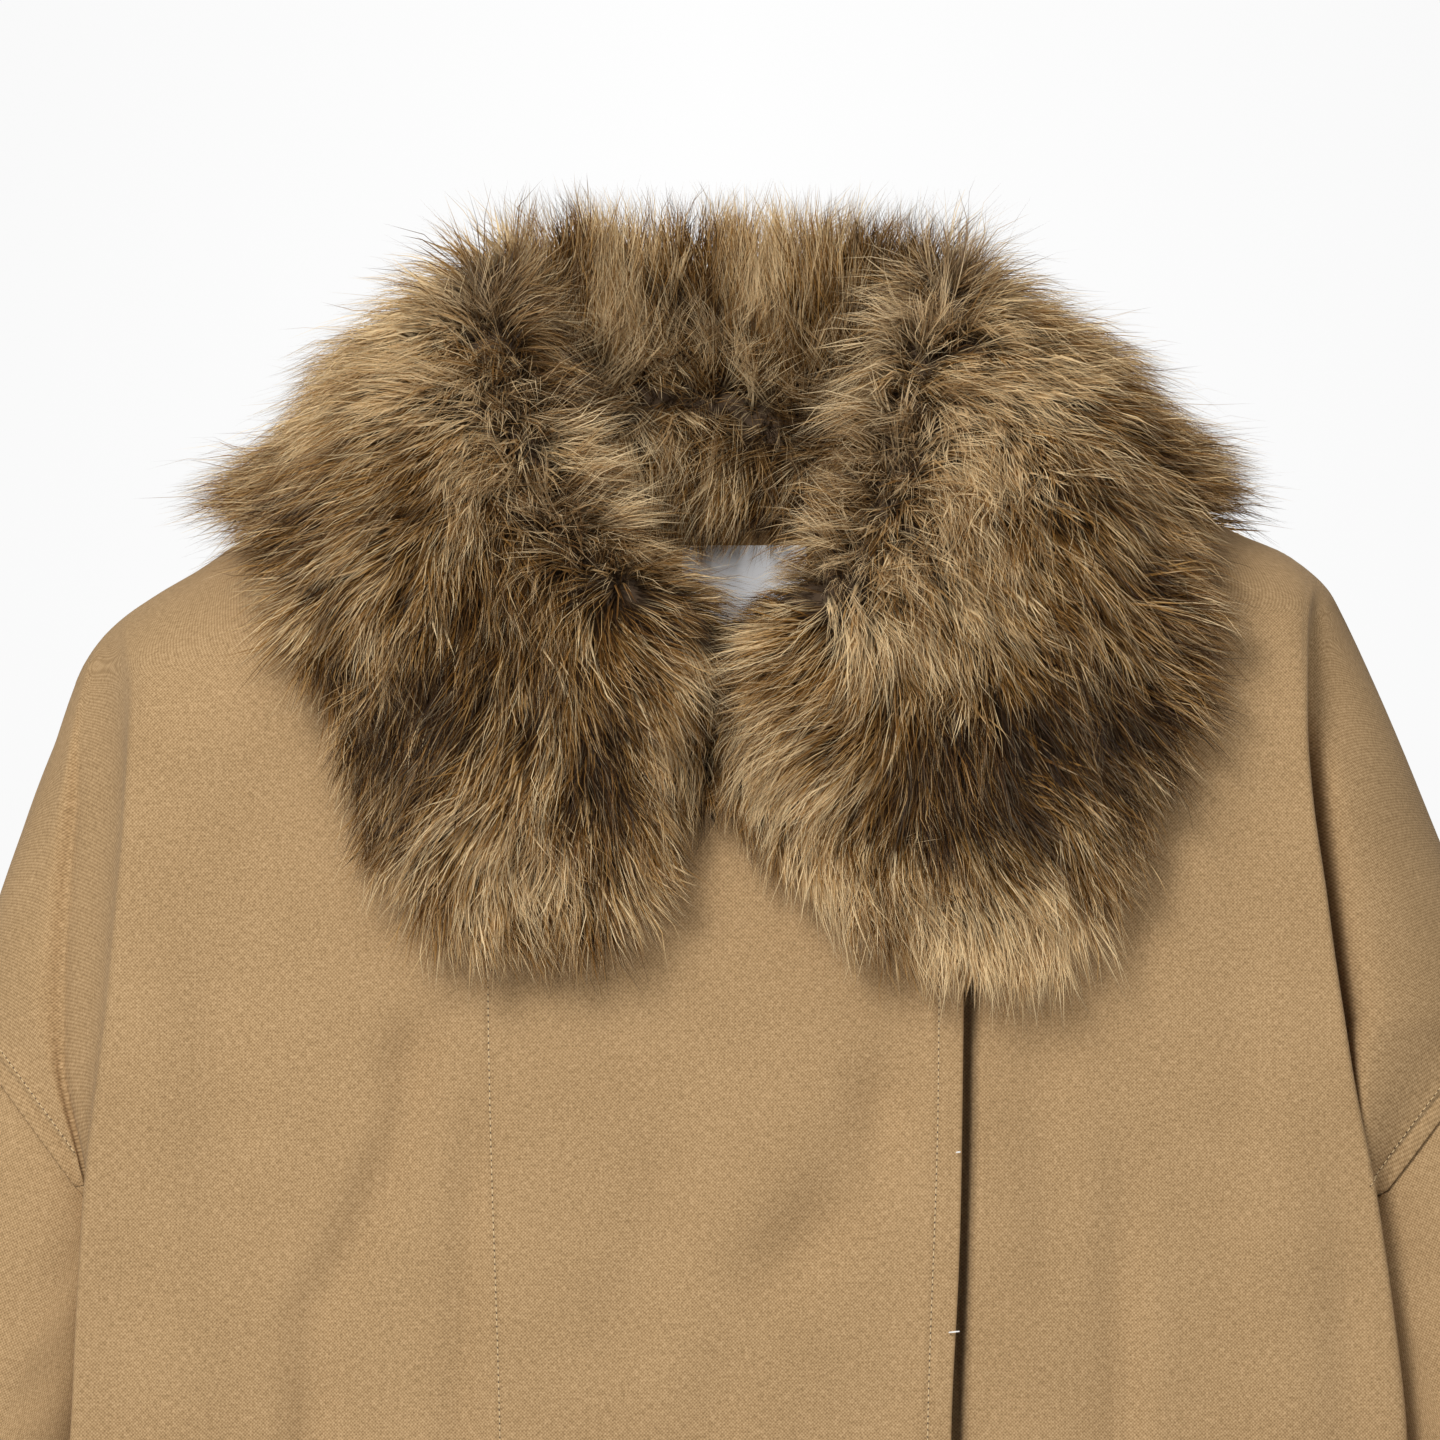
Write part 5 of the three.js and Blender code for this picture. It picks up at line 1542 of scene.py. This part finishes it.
# locks a square metre, seed, twist, disorder, and size for each millimetre of length
fur = [grow("fur_undercoat", wool_tree, 24000, 5, 0.45, 0.006, 1 / 36)]
for i in range(4):
    fur.append(grow(f"fur_pile_{i + 1}", pile_tree, 27000, 11 + i, 0.20, 0.018, 1 / 36))
fur.append(grow("fur_guard_hair", guard_tree, 14000, 31, 0.30, 0.018, 1 / 36))
fur.append(grow("fur_crossed_hair", crossed_tree, 90000, 41, 3.0, 0.010, 1 / 30))
print("hair in all:", sum(triangles(piece.data) for piece in fur), "triangles")

# %% [markdown]
# ## Stitching
# Topstitching holds facings and seam allowances flat. The thread dips into a needle hole
# after each stitch, which is why a stitched line reads as a row of dark points; here each hole
# is a small flat dark disc, painted shade. A row of copies set by hand would drift off the
# folds. So the lines are drawn on the pattern, laid on the cloth by rays, and sewn by Geometry
# Nodes: the line is cut into stitch lengths, and each cut gets a stitch turned along the line.

# %% A stitch, and after it a flat dark disc that is painted shade for the needle hole
THREAD_WIDE, THREAD_HIGH, THREAD_UP, THREAD_SUNK = 0.21, 0.17, 0.10, -0.06
HOLE_LONG, HOLE_WIDE, HOLE_UP = 0.36, 0.30, 0.05


def stitch(name, long, tilt, sides=5):
    """Local X runs along the seam and Z off the cloth."""
    points = [(-long / 2, 0.0, THREAD_SUNK)]
    for along, size in ((-0.30, 0.85), (0.0, 1.0), (0.30, 0.85)):
        for i in range(sides):
            g = 2 * math.pi * i / sides
            points.append((along * long, THREAD_WIDE * size * math.cos(g) + tilt * along,
                           THREAD_HIGH * size * math.sin(g) + THREAD_UP * size))
    points.append((long / 2, 0.0, THREAD_SUNK))
    last = len(points) - 1
    faces = [(0, 1 + (i + 1) % sides, 1 + i) for i in range(sides)]
    for ring in (0, 1):
        low = 1 + ring * sides
        faces += [(low + i, low + (i + 1) % sides, low + sides + (i + 1) % sides, low + sides + i)
                  for i in range(sides)]
    low = 1 + 2 * sides
    faces += [(last, low + i, low + (i + 1) % sides) for i in range(sides)]
    # the needle hole is a flat disc, coloured dark as painted shade
    hole = [0.0] * len(points) + [1.0] * 6
    points += [(STITCH_PITCH / 2 + HOLE_LONG * math.cos(i * math.pi / 3),
                HOLE_WIDE * math.sin(i * math.pi / 3), HOLE_UP) for i in range(6)]
    faces.append(tuple(range(last + 1, last + 7)))
    mesh = mesh_of(name, points, faces, smooth_faces=False)
    put(mesh, "hole", hole)
    return bpy.data.objects.new(name, mesh)


stitch_kinds = bpy.data.collections.new("stitch_kinds")
for i, (long, tilt) in enumerate(((1.9, 0.05), (1.8, -0.10), (2.0, 0.0))):
    stitch_kinds.objects.link(stitch(f"stitch_{i}", long, tilt))


# %% Geometry Nodes that sew a line
def sew_tree(kinds, material):
    tree, given = new_tree("sew_line", Pitch="Float", Seed="Int")
    line = add(tree, "GeometryNodeMeshToCurve", {"Mesh": given["Geometry"]})
    cut = add(tree, "GeometryNodeResampleCurve", {"Curve": line.outputs[0],
                                                  "Length": given["Pitch"]}, mode="LENGTH")
    up = add(tree, "GeometryNodeInputNamedAttribute", {"Name": "up"}, data_type="FLOAT_VECTOR")
    turned = add(tree, "FunctionNodeAxesToRotation",
                 {"Primary Axis": up.outputs["Attribute"],
                  "Secondary Axis": add(tree, "GeometryNodeInputTangent").outputs[0]},
                 primary_axis="Z", secondary_axis="X")
    pick = add(tree, "FunctionNodeRandomValue", {"Seed": given["Seed"]}, data_type="INT")
    pick.inputs[4].default_value, pick.inputs[5].default_value = 0, len(kinds.objects) - 1
    size = add(tree, "FunctionNodeRandomValue", {"Seed": given["Seed"]}, data_type="FLOAT")
    size.inputs[2].default_value, size.inputs[3].default_value = 0.92, 1.06
    source = add(tree, "GeometryNodeCollectionInfo",
                 {"Collection": kinds, "Separate Children": True, "Reset Children": True})
    placed = add(tree, "GeometryNodeInstanceOnPoints",
                 {"Points": cut.outputs[0], "Instance": source.outputs[0], "Pick Instance": True,
                  "Instance Index": pick.outputs[2], "Rotation": turned.outputs[0],
                  "Scale": size.outputs[1]})
    plain = add(tree, "GeometryNodeRealizeInstances", {"Geometry": placed.outputs[0]})
    return end_tree(tree, plain.outputs[0], material)


# %% Thread, tan where it shows, and painted shade on the flat discs that stand for the needle holes
THREAD_TAN, HOLE_SHADE = (0.66, 0.49, 0.27, 1.0), (0.085, 0.050, 0.022, 1.0)
thread, tree = new_material("sewing_thread")
dark = add(tree, "ShaderNodeAttribute", attribute_name="hole").outputs["Fac"]
colour = add(tree, "ShaderNodeMix", {0: dark, 6: THREAD_TAN, 7: HOLE_SHADE}, data_type="RGBA")
finish(tree, add(tree, "ShaderNodeBsdfPrincipled", {"Base Color": colour.outputs[2],
                                                    "Roughness": 0.6}))
sewing = sew_tree(stitch_kinds, thread)


# %% Laying a drawn line on the cloth, and sewing it
RAY_START = 0.6                               # metres back from the line
TOO_STEEP = -0.12                             # cloth that a ray only grazes is left out
LINE_RISE = 0.00004                           # metres off the cloth


def laid(piece, drawn, way):
    """Runs of points and normals where rays along `way` meet the piece's outer face."""
    mesh = piece.data
    tree = BVHTree.FromPolygons([v.co for v in mesh.vertices],
                                [tuple(p.vertices) for p in mesh.polygons])
    way, runs, run = Vector(way), [], []
    for place in drawn:
        spot, normal, _, _ = tree.ray_cast(Vector(place) * MM - way * RAY_START, way)
        if spot is None or normal.dot(way) > TOO_STEEP:
            if len(run) > 2:
                runs.append(run)
            run = []
        else:
            run.append((spot + normal * LINE_RISE, normal))
    return runs + ([run] if len(run) > 2 else [])


def sew(name, runs, seed):
    """The stitches of one piece, as one plain mesh."""
    points = [spot for run in runs for spot, _ in run]
    starts = np.cumsum([0] + [len(run) for run in runs])
    edges = [(i, i + 1) for a, b in zip(starts[:-1], starts[1:]) for i in range(a, b - 1)]
    mesh = bpy.data.meshes.new(name + "_line")
    mesh.from_pydata([tuple(p) for p in points], edges, [])
    put(mesh, "up", [tuple(normal) for run in runs for _, normal in run])
    obj = run_nodes(in_scene(name, mesh), sewing, {"Pitch": STITCH_PITCH * MM, "Seed": seed})
    print(f"{name}: {len(runs)} lines, {triangles(obj.data)} triangles")
    return obj


# %% Where the lines run
AHEAD, BEHIND, BELOW = (0, 1, 0), (0, -1, 0), (0, 0, -1)


def on_front(line):
    return [(x, 0.0, -drop) for x, drop in line]


def armhole_line(side):
    """Beside the armhole seam, on the body's side of it."""
    drops = np.linspace(side["seam_top"] - 10, side["seam_cross"], 60)
    x = side["at"]["seam"](np.maximum(drops, side["seam_top"]))
    x = x + np.maximum(0, side["seam_top"] - drops) * 0.8
    run = np.stack([np.gradient(x), np.gradient(drops)], axis=1)
    run /= np.linalg.norm(run, axis=1)[:, None]
    x, drops = x - SEAM_STITCH * run[:, 1], drops + SEAM_STITCH * run[:, 0]
    keep = x > side["at"]["trough"](drops) + 1.5
    return on_front(zip(side["sign"] * x[keep], drops[keep]))


def hem_line(x0, x1):
    return on_front((x, HEM_SEAM - SEAM_STITCH) for x in np.arange(x0, x1, 2.0))


def cuff_line(side):
    half, middle, _ = sleeve_oval(side, float(HEM_SEAM))
    turn = np.linspace(0.02, math.pi - 0.02, 90)
    drop = HEM_SEAM - half * np.cos(turn) * math.tan(CUFF_LEAN) - SEAM_STITCH
    return on_front(zip(side["sign"] * (middle + half * np.cos(turn)), drop))


down_front = np.arange(96, 592, 3.0)
edge_line = on_front(zip(wrap_edge(down_front) - EDGE_STITCH, down_front))
placket_line = on_front(zip(PLACKET(down_front), down_front))
shoulder_lines = [[(sign * x, 7.0, 150.0) for x in np.arange(94, 246, 2.5)] for sign in (-1, 1)]

# %% Sewing them all
plans = {
    "front_right": (front_right, [(edge_line, AHEAD), (placket_line, AHEAD),
                                  (armhole_line(RIGHT), AHEAD), (hem_line(-240, 76), AHEAD)]),
    "front_left": (front_left, [(armhole_line(LEFT), AHEAD), (hem_line(92, 250), AHEAD)]),
    "back": (back, [(armhole_line(RIGHT), BEHIND), (armhole_line(LEFT), BEHIND),
                    (hem_line(-240, 250), BEHIND)] + [(s, BELOW) for s in shoulder_lines]),
    "sleeve_right": (arms["right"][0], [(cuff_line(RIGHT), w) for w in (AHEAD, BEHIND)]),
    "sleeve_left": (arms["left"][0], [(cuff_line(LEFT), w) for w in (AHEAD, BEHIND)])}
stitches = {}
for seed, (node, (piece, lines)) in enumerate(plans.items()):
    runs = [run for drawn, way in lines for run in laid(piece, drawn, way)]
    stitches[node] = sew(f"stitches_{node}", runs, 61 + seed)

# %% [markdown]
# Two ends of basting thread were left at the wrap's edge when it was sewn. They are tiny
# white bars. A curve with a bevel could make them; two short rings of points are enough.

# %% Basting thread
BASTING_RADIUS, BASTING_OUT = 0.32, 3.0


def thread_bar(x0, x1, drop, y, sides=7):
    radius, points, faces = BASTING_RADIUS, [], []
    stops_at = [(x0, 0.1), (x0 + 0.15, 0.8), (mix(x0, x1, 0.5), 1.0), (x1 - 0.15, 0.8), (x1, 0.1)]
    for x, size in stops_at:
        for i in range(sides):
            g = 2 * math.pi * i / sides
            points.append((x, y - 0.4 * (x - x0) + radius * size * math.cos(g),
                           -drop + 0.12 * (x - x0) + radius * size * math.sin(g)))
    for ring in range(len(stops_at) - 1):
        low = ring * sides
        faces += [(low + i, low + sides + i, low + sides + (i + 1) % sides, low + (i + 1) % sides)
                  for i in range(sides)]
    faces += [tuple(range(sides)), tuple(range(len(points) - 1, len(points) - 1 - sides, -1))]
    return points, faces


points, faces = [], []
for x0, x1, drop in ((82.6, 86.6, 329.0), (85.2, 87.0, 264.0)):
    front_y = float(-body_depth(FRONT, x0, drop)) - PLY_RISE - BASTING_OUT
    more, their = thread_bar(x0, x1, drop, front_y)
    faces += [tuple(i + len(points) for i in f) for f in their]
    points += more
basting = in_scene("basting_thread", mesh_of("basting_thread", points, faces))
basting.data.materials.append(flat_finish("white_thread", (0.84, 0.82, 0.78), 0.55))

# %% [markdown]
# ## Room, light and camera
# The jacket hangs in the air over a plain pale floor, with nothing behind it. The light
# is a bright even room with one broad soft lamp up and to the left. A row of lamps could
# light it too, but a room that is dimmer to the sides lets the folds show with fewer parts.

# %% Floor
FLOOR_SIZE, FLOOR_LEVEL = 18, -0.95
bpy.ops.mesh.primitive_plane_add(size=FLOOR_SIZE, location=(0, 0, FLOOR_LEVEL))
floor = bpy.context.object
floor.name = "studio_floor"
floor.data.materials.append(flat_finish("pale_floor", (0.82, 0.82, 0.82), 0.8))

# %% Light of the room: its level, and what is added to each side
LEVEL = 0.998
# axis of the direction, its sign, and the light added there
ROOM = {"left": (0, -1.0, -0.70), "right": (0, 1.0, -0.72), "top": (2, 1.0, -0.10),
        "under": (2, -1.0, -0.72), "front": (1, -1.0, -0.32)}
world = bpy.data.worlds.new("bright_room")
scene.world = world
world.use_nodes = True
tree = world.node_tree
tree.nodes.clear()
# in a world, generated coordinates are the direction of the room that is lit
towards_room = add(tree, "ShaderNodeTexCoord").outputs["Generated"]
split = add(tree, "ShaderNodeSeparateXYZ", {0: towards_room})
bright = LEVEL
for axis, sign, added in ROOM.values():
    share = sums(tree, "MAXIMUM", sums(tree, "MULTIPLY", split.outputs[axis], sign), 0.0)
    bright = sums(tree, "MULTIPLY_ADD", share, added, bright)
room = add(tree, "ShaderNodeBackground", {"Color": (1.0, 1.0, 1.0, 1.0), "Strength": bright})
add(tree, "ShaderNodeOutputWorld", {"Surface": room.outputs[0]})

# %% The lamp
KEY_PLACE, KEY_AIM, KEY_SIZE, KEY_POWER = (-0.95, -2.82, 1.5), (0, 0, -0.2), 1.0, 90.0


lamp = bpy.data.lights.new("key_lamp", "AREA")
lamp.shape, lamp.size, lamp.energy = "DISK", KEY_SIZE, KEY_POWER
key_lamp = in_scene("key_lamp", lamp)
key_lamp.location = KEY_PLACE
aim = Vector(KEY_AIM) - Vector(KEY_PLACE)
key_lamp.rotation_euler = aim.to_track_quat("-Z", "Y").to_euler()

# %% Camera, level with the upper chest and far enough back that the view is nearly flat
CAMERA_PLACE, FOCAL_LENGTH = (0.0, -4.54, -0.1077), 308.3
eye = bpy.data.cameras.new("eye")
camera = in_scene("eye", eye)
camera.location = CAMERA_PLACE
camera.rotation_euler = (math.radians(90), 0, 0)
eye.sensor_width, eye.lens = 36.0, FOCAL_LENGTH
eye.clip_start, eye.clip_end = 0.1, 60.0
scene.camera = camera
scene.view_settings.view_transform = "Standard"

# %% [markdown]
# ## Everything in its place
# Each piece stands for its CAD node: it rides on the CAD's body, and the CAD part that it
# replaces is hidden.

for node, piece in cloth_pieces.items():
    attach(piece, "root")
    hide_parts(node)
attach(label, "root")
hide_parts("label")

for piece in [pelt_skin, *fur]:
    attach(piece, "root")
    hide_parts("fur_collar")
for node, piece in [*stitches.items(), ("front_right", basting)]:
    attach(piece, "root")
    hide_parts(node)

# %% Say what each sheet of cloth was cut to
HANGS_FROM = {"front_right": ["shoulder_hold", "cloth_back"],
              "front_left": ["shoulder_hold", "cloth_back"],
              "back": ["shoulder_hold"],
              "sleeve_right": ["cloth_front_right", "cloth_back"],
              "sleeve_left": ["cloth_front_left", "cloth_back"],
              "cuff_right": ["cloth_sleeve_right"], "cuff_left": ["cloth_sleeve_left"],
              "hem_band": ["cloth_front_right", "cloth_front_left", "cloth_back"],
              "label": ["cloth_back"]}
for node, above in HANGS_FROM.items():
    piece = cloth_pieces.get(node, label)
    width, length, area = cuts[piece.name]
    on_it = [stitches[node]] if node in stitches else []
    on_it += [basting] if node == "front_right" else []
    print(f"{node}: cut {width:.3f} x {length:.3f} m, {area:.4f} m2")
